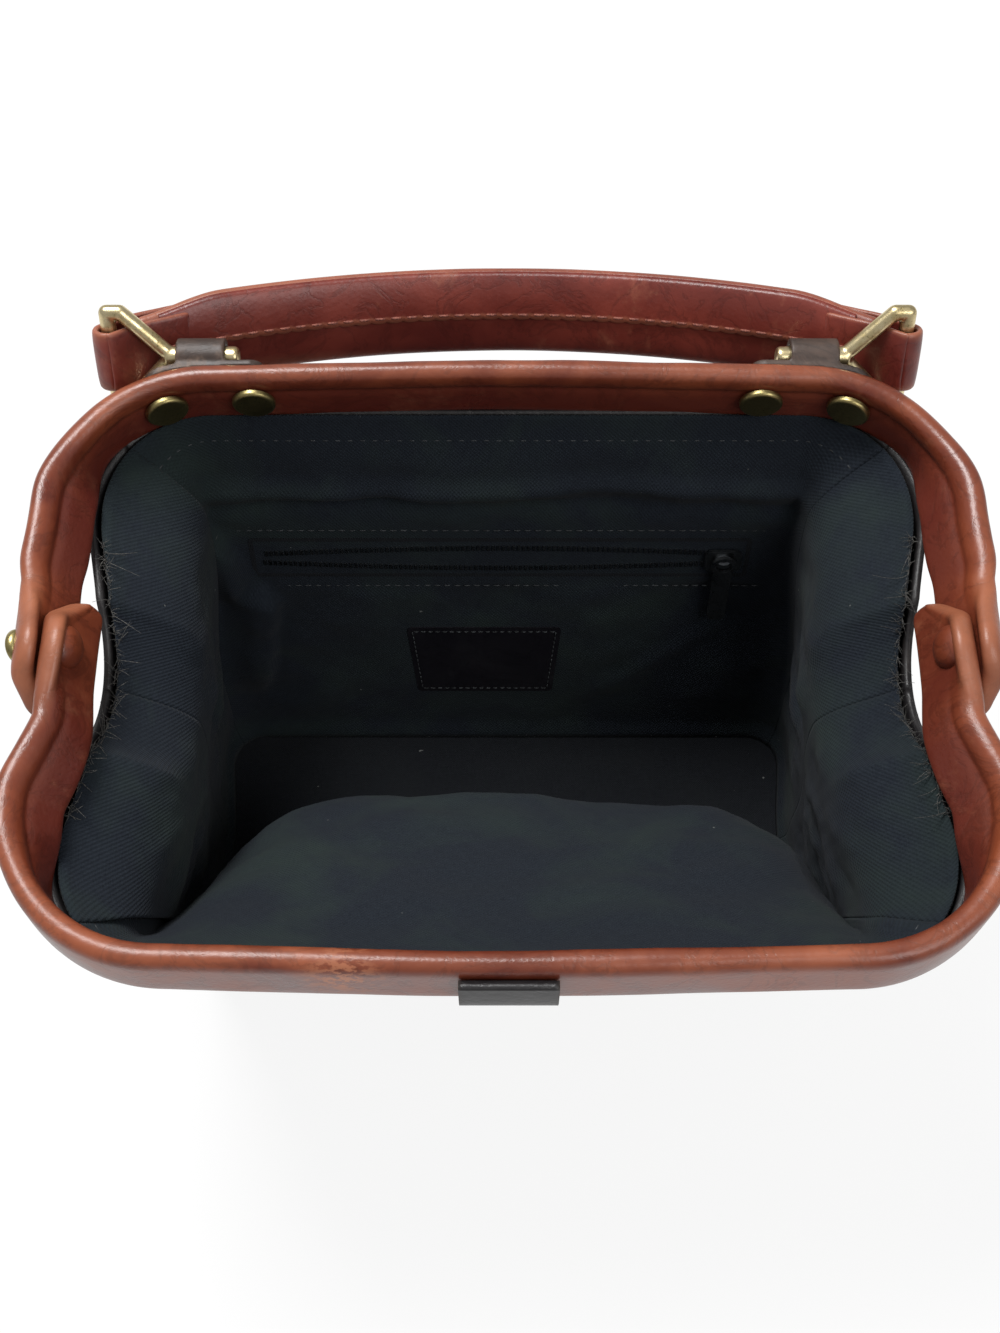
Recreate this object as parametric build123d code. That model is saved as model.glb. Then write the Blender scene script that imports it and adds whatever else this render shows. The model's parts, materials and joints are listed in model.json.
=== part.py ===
"""Top handle satchel with a hinged, leather-covered frame, open as it stands.

Millimetres. X runs across the bag, Y from its front to the side that carries the handle, Z up.
The origin is the centre of the base's underside. Each frame is drawn flat, with its legs
running out from the hinge axis, and is then tipped up by the angle at which it rests open.
"""
from build123d import *
import os
from math import atan, atan2, cos, degrees, hypot, pi, sin, tan

# Mouth, from which the other widths follow
MOUTH_HALF_WIDTH = 120.0
LEG_LENGTH = 80.0

# Bag body
BASE_TAPER = 20.0
BASE_HALF_WIDTH = MOUTH_HALF_WIDTH - BASE_TAPER
BASE_HALF_DEPTH = 45.0
BASE_CORNER = 19.0
BASE_PANEL = 2.2
BASE_BOARD = 2.0
HINGE_HEIGHT = 155.0
WALL = 1.8
LINING = 1.0
LINING_GAP = 2.6
LAYER_GAP = 0.3
FRONT_SLUMP = 40.0
GUSSET_FOLD_BASE = 3.0
GUSSET_FOLD_TOP = 9.0
SCOOP_RADIUS = 26.0
PANEL_INSET = 1.5
TOP_BELOW_HINGE = 13.0
RIM_SAG = 1.5
FOLD_ROUNDING = 0.35
SEAM_IN_CORNER = 0.3
ROOM = 400.0

# Hinged frames
LEG_STRAIGHT = 0.2375 * LEG_LENGTH
LEG_BEND = 0.4625 * LEG_LENGTH
LEG_BEND_RADIUS = 12.0
CORNER_ROOM = 2.0
FRAME_CORNER = LEG_LENGTH - LEG_BEND - CORNER_ROOM
RAIL_BOW = 3.0
BAND = 6.3
BAND_DEPTH = 19.0
BEAD_FILLET = 2.6
OPEN_TILT = 3.5
MATING_GAP = 0.3
MOVING_GAP = 0.3
BACK_LEG_SPREAD = 1.0
LEG_TIP = 12.0
LEG_TIP_RADIUS = 4.5
EAR_RADIUS = 9.0
LEG_EDGE = 1.2

# Steel inside each frame
STEEL = 1.8
STEEL_DEPTH = 13.0
STEEL_EYE = 6.5
STEEL_GAP = 0.1
BEAD_PAD = 3.0

# Hinge rivets
HINGE_RIVET = 2.2
RUNNING_FIT = 0.06
DOME_RADIUS = 5.0
DOME_HEIGHT = 3.4
OUTER_DOME_HEIGHT = 2.2
HINGE_WASHER = 0.8

# Brass rivets that hold the handle's chapes
RIVET_X = (MOUTH_HALF_WIDTH - 52.0, MOUTH_HALF_WIDTH - 26.5)
RIVET_CAP = 5.8
RIVET_CAP_THICK = 1.6
RIVET_STEM = 1.7
RIVET_TAIL = 2.6
RIVET_TAIL_THICK = 0.5
RIVET_DEPTH = 9.5

# Chapes, rings and handle
CHAPE_X = (MOUTH_HALF_WIDTH - 56.0, MOUTH_HALF_WIDTH - 22.0)
CHAPE = 2.0
CHAPE_HEIGHT = 13.0
FOOT_X = MOUTH_HALF_WIDTH - 38.0
FOOT_RADIUS = 2.8
FOOT_LENGTH = 20.0
FOOT_GAP = 0.3
KNUCKLE_LENGTH = 13.0
KNUCKLE_WALL = 1.8
RING_BAR = 2.1
RING_END_X = MOUTH_HALF_WIDTH - 14.0
RING_HALF_WIDTH = 12.5
RING_SHOULDER = 3.6
HANDLE_DROOP = 30.0
HANDLE_RISE = 35.0
HANDLE_WIDTH = 24.5
HANDLE_THICK = 6.4
HANDLE_SKIN = 1.5
HANDLE_HALF_SPAN = RING_END_X - 6.0
HANDLE_END_RISE = 6.0
SEAM_WIDTH = 3.4
SEAM_HEIGHT = 1.5
LOOP_WALL = 2.0
LOOP_WIDTH = 16.0

# Front tab
TAB_WIDTH = 22.5
TAB_LENGTH = 27.0
TAB = 2.4
TAB_DROP = 4.0

# Zip pocket and label patch on the back lining
ZIP_X = -2.0
ZIP_BELOW_HINGE = 65.0
ZIP_END_ROOM = 27.0
ZIP_LENGTH = 2 * (BASE_HALF_WIDTH - ZIP_END_ROOM)
ZIP_GAP_END = 1.6
ZIP_GAP_MIDDLE = 6.8
ZIP_OPENING = 14.0
TAPE = 0.6
TAPE_LEVEL = 0.1 - LINING
TOOTH_PITCH = 1.5
TOOTH = (0.9, 1.8, 1.2)
WELT = 1.4
SLIDER = (11.0, 8.6, 1.0)
SLIDER_CORNER = 2.6
SLIDER_POST = 0.8
BAIL = (2.2, 1.1, 1.6)
BAIL_DIP = 0.55
PULL_LENGTH = 24.0
PULL_WIDTH = 5.4
PULL = 1.1
PULL_EYE = 3.6
PULL_HOLE = 2.4
POCKET_MARGIN = 1.0
POCKET_DEPTH = 74.0
POCKET_WALL = 0.5
POCKET_ROOM = 0.8
POCKET_GAP = 0.6
POCKET_HEM = 6.0
PATCH_TOP = 48.6
PATCH_BOTTOM = 44.0
PATCH_HEIGHT = 32.5
PATCH = 0.9
PATCH_CORNER = 1.5
PATCH_X = -7.0
PATCH_BELOW_ZIP = 32.0

HINGE = Vector(0, 0, HINGE_HEIGHT)
BODY_TOP = HINGE_HEIGHT - TOP_BELOW_HINGE
BACK_LEG = MOUTH_HALF_WIDTH + BACK_LEG_SPREAD
FRONT_LEG = BACK_LEG - BAND - MOVING_GAP
LINING_INSET = WALL + LINING_GAP

os.makedirs("parts", exist_ok=True)


def mix(low, high, share):
    """Straight-line value between low and high."""
    return low + (high - low) * share


def body_outline(share, inset):
    """Closed outline of the bag at a share of its height: straight back, slumped front, folded ends."""
    half = mix(BASE_HALF_WIDTH, MOUTH_HALF_WIDTH - PANEL_INSET, share) - inset
    reach = mix(BASE_HALF_DEPTH, LEG_LENGTH - PANEL_INSET, share) - inset
    corner = mix(BASE_CORNER, FRAME_CORNER - PANEL_INSET, share) - inset
    slump = RIM_SAG + FRONT_SLUMP * sin(pi * share) ** 2
    fold = mix(GUSSET_FOLD_BASE, GUSSET_FOLD_TOP, share)
    front_round = FOLD_ROUNDING * half / tan(atan(slump / half))
    fold_round = FOLD_ROUNDING * reach / tan(atan(fold / reach))
    points = [(-half, -reach), (0, -reach + slump), (half, -reach), (half - fold, 0),
              (half, reach), (-half, reach), (-half + fold, 0)]
    radii = [corner, front_round, corner, fold_round, corner, corner, fold_round]
    return FilletPolyline(*points, radius=radii, close=True)


def body_solid(inset):
    """The bag's outer form, drawn in by an inset, from the base panel up past the frames."""
    faces = []
    for step in range(5):
        share = step / 4
        height = mix(BASE_PANEL, BODY_TOP, share)
        faces.append(Pos(0, 0, height) * make_face(body_outline(share, inset)))
    return loft(faces)


def frame_place(side):
    """Placement of a flat-drawn frame: +1 is the back frame and -1 the front one."""
    turn = Rot(0, 0, 0) if side > 0 else Rot(0, 0, 180)
    return Pos(HINGE) * turn * Rot(OPEN_TILT, 0, 0)


def body_trim():
    """Everything above the frames' lower edges, with the scoop that clears each hinge."""
    low = -MATING_GAP - BAND_DEPTH - MOVING_GAP
    above = Pos(0, ROOM / 2 - EAR_RADIUS, ROOM / 2 + low) * Box(ROOM, ROOM, ROOM)
    scoop = Pos(HINGE) * Rot(0, 90, 0) * Cylinder(SCOOP_RADIUS, ROOM)
    return frame_place(1) * above + frame_place(-1) * above + scoop


def wall_wedges():
    """Upright prisms that part the walls into front, back and end panels at the corner seams."""
    low_in = SEAM_IN_CORNER * BASE_CORNER
    top_in = SEAM_IN_CORNER * FRAME_CORNER
    low = Vector(BASE_HALF_WIDTH - low_in, BASE_HALF_DEPTH - low_in)
    top = Vector(MOUTH_HALF_WIDTH - top_in, LEG_LENGTH - top_in)
    slope = (top.X - low.X) / (top.Y - low.Y)
    start = low.X - slope * low.Y
    far = start + slope * ROOM
    back = extrude(make_face(Polyline((-start, 0), (start, 0), (far, ROOM), (-far, ROOM), close=True)), ROOM)
    front = mirror(back, Plane.XZ)
    ends = Box(2.5 * far, 2 * ROOM, 2 * ROOM) - back - front
    right = ends & Pos(ROOM * 2, 0, 0) * Box(ROOM * 4, ROOM * 4, ROOM * 4)
    return {"front": front, "back": back, "right": right, "left": mirror(right, Plane.YZ)}


def split_walls(shell):
    """The four panels of a wall layer."""
    return {name: shell & wedge for name, wedge in wall_wedges().items()}


def rail_path(leg, inset):
    """Open U path seen from above: legs that leave the hinge at x = leg and a bowed rail."""
    wide = MOUTH_HALF_WIDTH - inset
    near = leg - inset
    reach = LEG_LENGTH - inset
    side = [(near, 0), (near, LEG_STRAIGHT), (wide, LEG_BEND), (wide, reach)]
    points = side + [(0, reach + RAIL_BOW)] + [(-x, y) for x, y in reversed(side)]
    bow_round = 0.4 * wide * wide / RAIL_BOW / 2
    corner = FRAME_CORNER - inset
    radii = [LEG_BEND_RADIUS, LEG_BEND_RADIUS, corner, bow_round, corner, LEG_BEND_RADIUS, LEG_BEND_RADIUS]
    return FilletPolyline(*points, radius=radii)


def rail_face(leg, outer, inner):
    """Flat U between two insets."""
    out = rail_path(leg, outer)
    inn = rail_path(leg, inner)
    joins = [Line(out @ 0, inn @ 0), Line(out @ 1, inn @ 1)]
    return make_face(out.edges() + inn.edges() + joins)


def leg_plate(leg, outer, inner, ear, low, top):
    """Flat leg end round the hinge, on both sides: an ear, a short tip and the band's own depth."""
    tip = max(LEG_TIP_RADIUS - (EAR_RADIUS - ear), 1.5)
    outline = Circle(ear).edges() + (Pos(-LEG_TIP, (low + top) / 2) * Circle(tip)).edges()
    outline += [Line((LEG_STRAIGHT - 1, low), (LEG_STRAIGHT - 1, top))]
    outline += [Line((-2, low), (LEG_STRAIGHT - 1, low))]
    plate = extrude(Plane.YZ * make_hull(outline), inner - outer)
    right = Pos(leg - inner, 0, 0) * plate
    return right, mirror(right, Plane.YZ)


def hinge_holes(radius):
    """A bore through both sides on the hinge axis."""
    return Rot(0, 90, 0) * Cylinder(radius, 3 * MOUTH_HALF_WIDTH)


def steel_strip(leg, grow=0.0, drop=0.0):
    """The spring-steel U inside a frame, or the room for it when grown."""
    outer = (BAND - STEEL) / 2 - grow
    inner = (BAND + STEEL) / 2 + grow
    top = -MATING_GAP - BEAD_PAD + grow
    low = top - STEEL_DEPTH - 2 * grow
    strip = Pos(0, 0, low - drop) * extrude(rail_face(leg, outer, inner), top - low + drop)
    for plate in leg_plate(leg, outer, inner, STEEL_EYE + grow, low, top):
        strip += plate
    return strip


def rivet_spots():
    """Places and headings of the four chape rivets on the back frame's outer face."""
    spots = []
    centre_x = MOUTH_HALF_WIDTH - FRAME_CORNER
    centre_y = LEG_LENGTH - FRAME_CORNER + RAIL_BOW * FRAME_CORNER / MOUTH_HALF_WIDTH
    for x in RIVET_X:
        turn = degrees(atan(RAIL_BOW / MOUTH_HALF_WIDTH))
        y = LEG_LENGTH + RAIL_BOW * (1 - x / MOUTH_HALF_WIDTH)
        if x > centre_x:
            y = centre_y + (FRAME_CORNER ** 2 - (x - centre_x) ** 2) ** 0.5
            turn = degrees(atan2(x - centre_x, y - centre_y))
        for side in (1, -1):
            spots.append(Pos(side * x, y, -MATING_GAP - RIVET_DEPTH) * Rot(0, 0, -side * turn) * Rot(-90, 0, 0))
    return spots


def rivet_bores(radius):
    """Bores for the chape rivets through a frame."""
    return [spot * Cylinder(radius, 4 * BAND) for spot in rivet_spots()]


def frame_cover(leg, bored):
    """Leather wrapped over the steel: beaded top edge, open below, with an ear at each leg's end."""
    low = -MATING_GAP - BAND_DEPTH
    band = Pos(0, 0, low) * extrude(rail_face(leg, 0, BAND), BAND_DEPTH)
    rims = band.edges().group_by(Axis.Z)[-1].filter_by(lambda e: e.center().Y > 0.5)
    band = fillet(rims, BEAD_FILLET)
    for plate in leg_plate(leg, 0, BAND, EAR_RADIUS, low, -MATING_GAP):
        band += chamfer(plate.edges().filter_by(Axis.X, reverse=True), LEG_EDGE)
    band -= steel_strip(leg, grow=STEEL_GAP, drop=BAND_DEPTH)
    band -= hinge_holes(HINGE_RIVET + RUNNING_FIT)
    if bored:
        for bore in rivet_bores(RIVET_STEM + RUNNING_FIT):
            band -= bore
    return band


def frame_steel(leg, bored):
    """The steel strip with its hinge eyes."""
    strip = steel_strip(leg) - hinge_holes(HINGE_RIVET + RUNNING_FIT)
    if bored:
        for bore in rivet_bores(RIVET_STEM + RUNNING_FIT):
            strip -= bore
    return strip


def dome(radius, height):
    """Domed cap on the XY plane, rising along Z."""
    sphere = (radius ** 2 + height ** 2) / (2 * height)
    cap = Pos(0, 0, height - sphere) * Sphere(sphere)
    return cap & Pos(0, 0, height / 2) * Cylinder(radius * 1.01, height)


def hinge_rivets():
    """Post, outer dome and washer for one side, and the leather-covered inner dome."""
    outer = BACK_LEG + MOVING_GAP / 3
    inner = FRONT_LEG - BAND - MOVING_GAP
    length = outer - inner
    post = Pos(inner, 0, 0) * Rot(0, 90, 0) * (Pos(0, 0, length / 2) * Cylinder(HINGE_RIVET, length))
    cap = Pos(outer, 0, 0) * Rot(0, 90, 0) * dome(DOME_RADIUS, OUTER_DOME_HEIGHT)
    washer = Pos(inner - HINGE_WASHER / 2, 0, 0) * Rot(0, 90, 0) * Cylinder(DOME_RADIUS, HINGE_WASHER)
    button = Pos(inner - HINGE_WASHER, 0, 0) * Rot(0, -90, 0) * dome(DOME_RADIUS, DOME_HEIGHT)
    return post + cap + washer, button


def chape_rivets():
    """Four flat-capped rivets: cap inside the bag, stem through the band and chape, peened tail."""
    seat = RIVET_CAP ** 2 / (2 * (FRAME_CORNER - BAND)) + 3 * RUNNING_FIT
    inside = -BAND - seat
    outside = CHAPE + MOVING_GAP + RUNNING_FIT
    stem = Pos(0, 0, (inside + outside) / 2) * Cylinder(RIVET_STEM, outside - inside)
    cap = Pos(0, 0, inside - RIVET_CAP_THICK / 2) * Cylinder(RIVET_CAP, RIVET_CAP_THICK)
    cap = fillet(cap.edges().group_by(Axis.Z)[0], RIVET_CAP_THICK * 0.6)
    tail = Pos(0, 0, outside) * dome(RIVET_TAIL, RIVET_TAIL_THICK)
    rivet = stem + cap + tail
    return [spot * rivet for spot in rivet_spots()]


def pivot_place():
    """Centre line of the ring feet, in the flat-drawn back frame."""
    rail = LEG_LENGTH + RAIL_BOW * (1 - FOOT_X / MOUTH_HALF_WIDTH)
    return Vector(0, rail + MOVING_GAP + CHAPE + FOOT_GAP + FOOT_RADIUS, -MATING_GAP - CHAPE_HEIGHT / 2)


def chape(side):
    """Leather strip along the rail's outer face, humped into a tunnel over the ring's foot."""
    strip = Pos(0, 0, -MATING_GAP - BAND_DEPTH / 2 - CHAPE_HEIGHT / 2) * extrude(
        rail_face(BACK_LEG, -MOVING_GAP - CHAPE, -MOVING_GAP), CHAPE_HEIGHT)
    middle = side * (CHAPE_X[0] + CHAPE_X[1]) / 2
    length = CHAPE_X[1] - CHAPE_X[0]
    ends = Pos(middle, LEG_LENGTH, -BAND_DEPTH / 2) * Rot(90, 0, 0) * extrude(
        SlotOverall(length, CHAPE_HEIGHT), 60, both=True)
    strip &= ends
    pivot = pivot_place()
    knuckle = Cylinder(FOOT_RADIUS + FOOT_GAP + KNUCKLE_WALL, KNUCKLE_LENGTH)
    tunnel = Cylinder(FOOT_RADIUS + FOOT_GAP, 3 * KNUCKLE_LENGTH)
    seat = Pos(side * FOOT_X, pivot.Y, pivot.Z) * Rot(0, 90, 0)
    body = strip + seat * knuckle
    body -= seat * tunnel
    body -= Pos(0, 0, -2 * BAND_DEPTH) * extrude(rail_face(BACK_LEG, -MOVING_GAP, BAND), 4 * BAND_DEPTH)
    for bore in rivet_bores(RIVET_STEM + RUNNING_FIT):
        body -= bore
    return body


def handle_place():
    """Placement of the handle, drawn with X across, Y away from the ring feet and Z across its width."""
    return frame_place(1) * Pos(pivot_place()) * Rot(-HANDLE_DROOP - OPEN_TILT, 0, 0)


def ring():
    """Cast ring on the right: fat foot, two arms that part, and the bar that the handle wraps."""
    foot = Pos(FOOT_X, 0, 0) * Rot(0, 90, 0) * Cylinder(FOOT_RADIUS, FOOT_LENGTH)
    foot = fillet(foot.edges(), FOOT_RADIUS * 0.4)
    neck = Vector(FOOT_X + FOOT_LENGTH / 2 - RING_BAR, 0, 0)
    body = foot
    for z in (-RING_HALF_WIDTH, RING_HALF_WIDTH):
        shoulder = Vector(RING_END_X - RING_SHOULDER, 0, z)
        end = Vector(RING_END_X, 0, z)
        for start, stop in ((neck, shoulder), (shoulder, end)):
            run = stop - start
            bar = Pos(0, 0, run.length / 2) * Cylinder(RING_BAR, run.length)
            body += Plane(origin=start, z_dir=run) * bar + Pos(stop) * Sphere(RING_BAR)
    body += Pos(RING_END_X, 0, 0) * Cylinder(RING_BAR, 2 * RING_HALF_WIDTH)
    return body


def handle_arc():
    """Arched centre line of the handle."""
    return ThreePointArc((-HANDLE_HALF_SPAN, HANDLE_END_RISE, 0), (0, HANDLE_RISE, 0),
                         (HANDLE_HALF_SPAN, HANDLE_END_RISE, 0))


def along_handle(section):
    """Sweeps a section, drawn with X through the thickness and Y across the width, along the arch."""
    path = handle_arc()
    start = Plane(origin=path @ 0, z_dir=path % 0, x_dir=(path % 0).cross(Vector(0, 0, 1)))
    return sweep(start * section, path)


def handle_leather():
    """Folded strap with a padded middle and a raised stitched seam along its underside."""
    outline = Ellipse(HANDLE_THICK / 2, HANDLE_WIDTH / 2)
    seam = Pos(HANDLE_THICK / 2, 0) * RectangleRounded(2 * SEAM_HEIGHT, SEAM_WIDTH, SEAM_HEIGHT * 0.45)
    skin = outline + seam
    skin -= Ellipse(HANDLE_THICK / 2 - HANDLE_SKIN, HANDLE_WIDTH / 2 - 2 * HANDLE_SKIN)
    return along_handle(skin)


def handle_core():
    """Filler cord pressed flat inside the handle."""
    gap = LAYER_GAP / 3
    return along_handle(Ellipse(HANDLE_THICK / 2 - HANDLE_SKIN - gap, HANDLE_WIDTH / 2 - 2 * HANDLE_SKIN - gap))


def handle_loop():
    """Strap end folded round the right ring's bar, with the tongue that is stitched to the handle."""
    bore = RING_BAR + FOOT_GAP
    eye = Pos(RING_END_X, 0, 0) * Cylinder(bore + LOOP_WALL, LOOP_WIDTH)
    path = handle_arc()
    end = path @ 1
    lean = degrees(atan2((path % 1).Y, (path % 1).X))
    tongue_length = hypot(RING_END_X - end.X, end.Y) + 1.0
    tongue = Pos(end) * Rot(0, 0, lean) * Pos(tongue_length / 2 + LAYER_GAP / 3, 0, 0) * Box(
        tongue_length, 2 * LOOP_WALL, LOOP_WIDTH)
    return eye + tongue - Pos(RING_END_X, 0, 0) * Cylinder(bore, 2 * LOOP_WIDTH)


def front_tab():
    """Short tab stitched under the front rail, rounded at its free end."""
    outline = Rectangle(TAB_WIDTH, TAB_LENGTH)
    outline = fillet(outline.vertices().group_by(Axis.Y)[0], TAB_WIDTH * 0.42)
    rail = LEG_LENGTH + RAIL_BOW
    plate = extrude(Plane.XZ * outline, -TAB)
    plate = Pos(0, rail + MOVING_GAP, -MATING_GAP - TAB_DROP - TAB_LENGTH / 2) * plate
    return plate


def zip_place():
    """Local frame of the zip on the back lining: X along it, Y up the lining and Z into the bag."""
    share = (HINGE_HEIGHT - ZIP_BELOW_HINGE - BASE_PANEL) / (BODY_TOP - BASE_PANEL)
    reach = mix(BASE_HALF_DEPTH, LEG_LENGTH - PANEL_INSET, share) - LINING_INSET - LINING
    rise = BODY_TOP - BASE_PANEL
    run = LEG_LENGTH - PANEL_INSET - BASE_HALF_DEPTH
    up = Vector(0, run, rise).normalized()
    return Location(Plane(origin=(ZIP_X, reach, HINGE_HEIGHT - ZIP_BELOW_HINGE), x_dir=(1, 0, 0),
                          z_dir=Vector(1, 0, 0).cross(up)))


def zip_half_gap(x):
    """Half of the open zip's gap at a place along it."""
    return mix(ZIP_GAP_END, ZIP_GAP_MIDDLE, cos(pi * x / ZIP_LENGTH)) / 2


def zip_tape(side):
    """Tape from the opening's edge to the bowed gap, behind the lining's face."""
    half = ZIP_LENGTH / 2
    edge = side * ZIP_OPENING / 2
    bowed = ThreePointArc((-half, side * zip_half_gap(half)), (0, side * zip_half_gap(0)),
                          (half, side * zip_half_gap(half)))
    rest = Polyline((half, side * zip_half_gap(half)), (half, edge), (-half, edge), (-half, side * zip_half_gap(half)))
    return Pos(0, 0, TAPE_LEVEL) * extrude(make_face(bowed.edges() + rest.edges()), TAPE)


def zip_teeth(side):
    """One row of teeth along the tape's bowed edge."""
    thick, wide, tall = TOOTH
    count = int((ZIP_LENGTH - 4) / TOOTH_PITCH)
    first = -(count - 1) * TOOTH_PITCH / 2
    base = TAPE_LEVEL + TAPE
    teeth = []
    for index in range(count):
        x = first + index * TOOTH_PITCH + (0.25 if side > 0 else -0.25) * TOOTH_PITCH
        y = side * (zip_half_gap(x) + wide / 2)
        teeth.append(Pos(x, y, base + tall / 2) * Box(thick, wide, tall))
    return teeth


def zip_welt():
    """Folded fabric edge round the zip's opening, on the lining's face."""
    outer = RectangleRounded(ZIP_LENGTH + 2 * WELT, ZIP_OPENING + 2 * WELT, WELT)
    return extrude(outer - Rectangle(ZIP_LENGTH, ZIP_OPENING), 0.5)


def slider_place():
    """The slider's rest place, at the zip's right end."""
    return Pos(ZIP_LENGTH / 2 - SLIDER[0] * 0.6, 0, 0)


def slider_level():
    """Level of the slider's front plate, clear of the teeth."""
    return TAPE_LEVEL + TAPE + TOOTH[2] + MOVING_GAP


def zip_slider():
    """Front plate over the teeth, post in the gap and back plate behind the tapes."""
    front_level = slider_level()
    back_level = TAPE_LEVEL - MOVING_GAP
    length, wide, thick = SLIDER
    outer, inner, bail_wide = BAIL
    front = extrude(RectangleRounded(length, wide, SLIDER_CORNER), thick)
    back = extrude(RectangleRounded(length, wide, SLIDER_CORNER), -thick)
    post_height = front_level - back_level
    post = Pos(length * 0.2, 0, back_level + post_height / 2) * Box(2.0, SLIDER_POST, post_height)
    below = Pos(0, -2 * outer) * Rectangle(4 * outer, 4 * outer)
    bail = Pos(0, 0, front_level + thick) * Rot(90, 0, 0) * (Circle(outer) - Circle(inner) - below)
    arch = extrude(bail, bail_wide / 2, both=True)
    return slider_place() * (Pos(0, 0, front_level) * front + Pos(0, 0, back_level) * back + post + arch)


def pull_pivot():
    """Where the pull hangs on the slider's bail, in the zip's frame."""
    crown = slider_level() + SLIDER[2] + BAIL[0] - BAIL_DIP
    return slider_place().position + Vector(0, 0, crown)


def zip_pull():
    """Flat pull with an eye round the bail's crown, hanging down the lining."""
    blade = Pos(0, -PULL_LENGTH / 2) * RectangleRounded(PULL_WIDTH, PULL_LENGTH, 1.8)
    return Pos(pull_pivot()) * extrude(Circle(PULL_EYE) + blade - Circle(PULL_HOLE), PULL / 2, both=True)


def zip_pocket():
    """Flat pocket bag hung behind the lining, open to the zip along its upper front."""
    top = ZIP_OPENING / 2 + POCKET_HEM
    thick = 2 * POCKET_WALL + POCKET_ROOM
    front_level = -LINING - POCKET_GAP
    middle = Vector(0, top - POCKET_DEPTH / 2, front_level - thick / 2)
    length = ZIP_LENGTH + 2 * POCKET_MARGIN
    slab = Pos(middle) * Box(length, POCKET_DEPTH, thick)
    inside = Pos(middle) * Box(length - POCKET_HEM / 2, POCKET_DEPTH - POCKET_HEM / 2, POCKET_ROOM)
    mouth = Pos(0, 0, front_level) * Box(ZIP_LENGTH, ZIP_OPENING, 2 * POCKET_WALL + POCKET_ROOM)
    return slab - inside - mouth


def label_patch():
    """Bare stitched patch, a little narrower at its foot."""
    half = PATCH_HEIGHT / 2
    outline = make_face(Polyline((-PATCH_TOP / 2, half), (PATCH_TOP / 2, half), (PATCH_BOTTOM / 2, -half),
                                 (-PATCH_BOTTOM / 2, -half), close=True))
    outline = fillet(outline.vertices(), PATCH_CORNER)
    return Pos(PATCH_X - ZIP_X, -PATCH_BELOW_ZIP - half, LAYER_GAP / 3) * extrude(outline, PATCH)


def base_layer(low, thick, inset):
    """Flat layer of the base, drawn in by an inset."""
    return Pos(0, 0, low) * extrude(make_face(body_outline(0, inset)), thick)


def save(name, shapes):
    """Writes one named sub-part."""
    solids = []
    for shape in shapes if isinstance(shapes, list) else [shapes]:
        solids.extend(shape.solids())
    export_step(solids[0] if len(solids) == 1 else Compound(children=solids), "parts/" + name + ".step")


trim = body_trim()
outer_shell = body_solid(0) - body_solid(WALL) - trim
lining_shell = body_solid(LINING_INSET) - body_solid(LINING_INSET + LINING) - trim
zip_at = zip_place()
zip_slot = zip_at * Box(ZIP_LENGTH, ZIP_OPENING, 4 * LINING)

PANEL_NAMES = {"front": "front_panel", "back": "back_panel", "left": "left_gusset", "right": "right_gusset"}
floor_top = BASE_PANEL + BASE_BOARD + 2 * LAYER_GAP
for place, panel in split_walls(outer_shell).items():
    save(PANEL_NAMES[place], panel)
for place, panel in split_walls(lining_shell).items():
    panel -= Pos(0, 0, floor_top / 2) * Box(ROOM, ROOM, floor_top)
    save("lining_" + place, panel - zip_slot if place == "back" else panel)

save("base_panel", base_layer(0, BASE_PANEL, 0))
save("base_board", base_layer(BASE_PANEL, BASE_BOARD, WALL + LAYER_GAP))
save("lining_floor", base_layer(BASE_PANEL + BASE_BOARD + LAYER_GAP, LINING, LINING_INSET + LINING + LAYER_GAP))

save("back_frame_cover", frame_place(1) * frame_cover(BACK_LEG, True))
save("back_frame_steel", frame_place(1) * frame_steel(BACK_LEG, True))
save("front_frame_cover", frame_place(-1) * frame_cover(FRONT_LEG, False))
save("front_frame_steel", frame_place(-1) * frame_steel(FRONT_LEG, False))
save("front_tab", frame_place(-1) * front_tab())

rivet, button = hinge_rivets()
save("hinge_rivet_right", frame_place(1) * rivet)
save("hinge_rivet_left", frame_place(1) * mirror(rivet, Plane.YZ))
save("hinge_button_right", frame_place(1) * button)
save("hinge_button_left", frame_place(1) * mirror(button, Plane.YZ))
save("chape_rivets", [frame_place(1) * one for one in chape_rivets()])
save("chape_right", frame_place(1) * chape(1))
save("chape_left", frame_place(1) * chape(-1))

save("ring_right", handle_place() * ring())
save("ring_left", handle_place() * mirror(ring(), Plane.YZ))
save("handle_leather", handle_place() * handle_leather())
save("handle_core", handle_place() * handle_core())
save("handle_loop_right", handle_place() * handle_loop())
save("handle_loop_left", handle_place() * mirror(handle_loop(), Plane.YZ))

save("zip_tape_upper", zip_at * zip_tape(1))
save("zip_tape_lower", zip_at * zip_tape(-1))
save("zip_teeth_upper", [zip_at * tooth for tooth in zip_teeth(1)])
save("zip_teeth_lower", [zip_at * tooth for tooth in zip_teeth(-1)])
save("zip_welt", zip_at * zip_welt())
save("zip_slider", zip_at * zip_slider())
save("zip_pull", zip_at * zip_pull())
save("zip_pocket", zip_at * zip_pocket())
save("label_patch", zip_at * label_patch())
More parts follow.
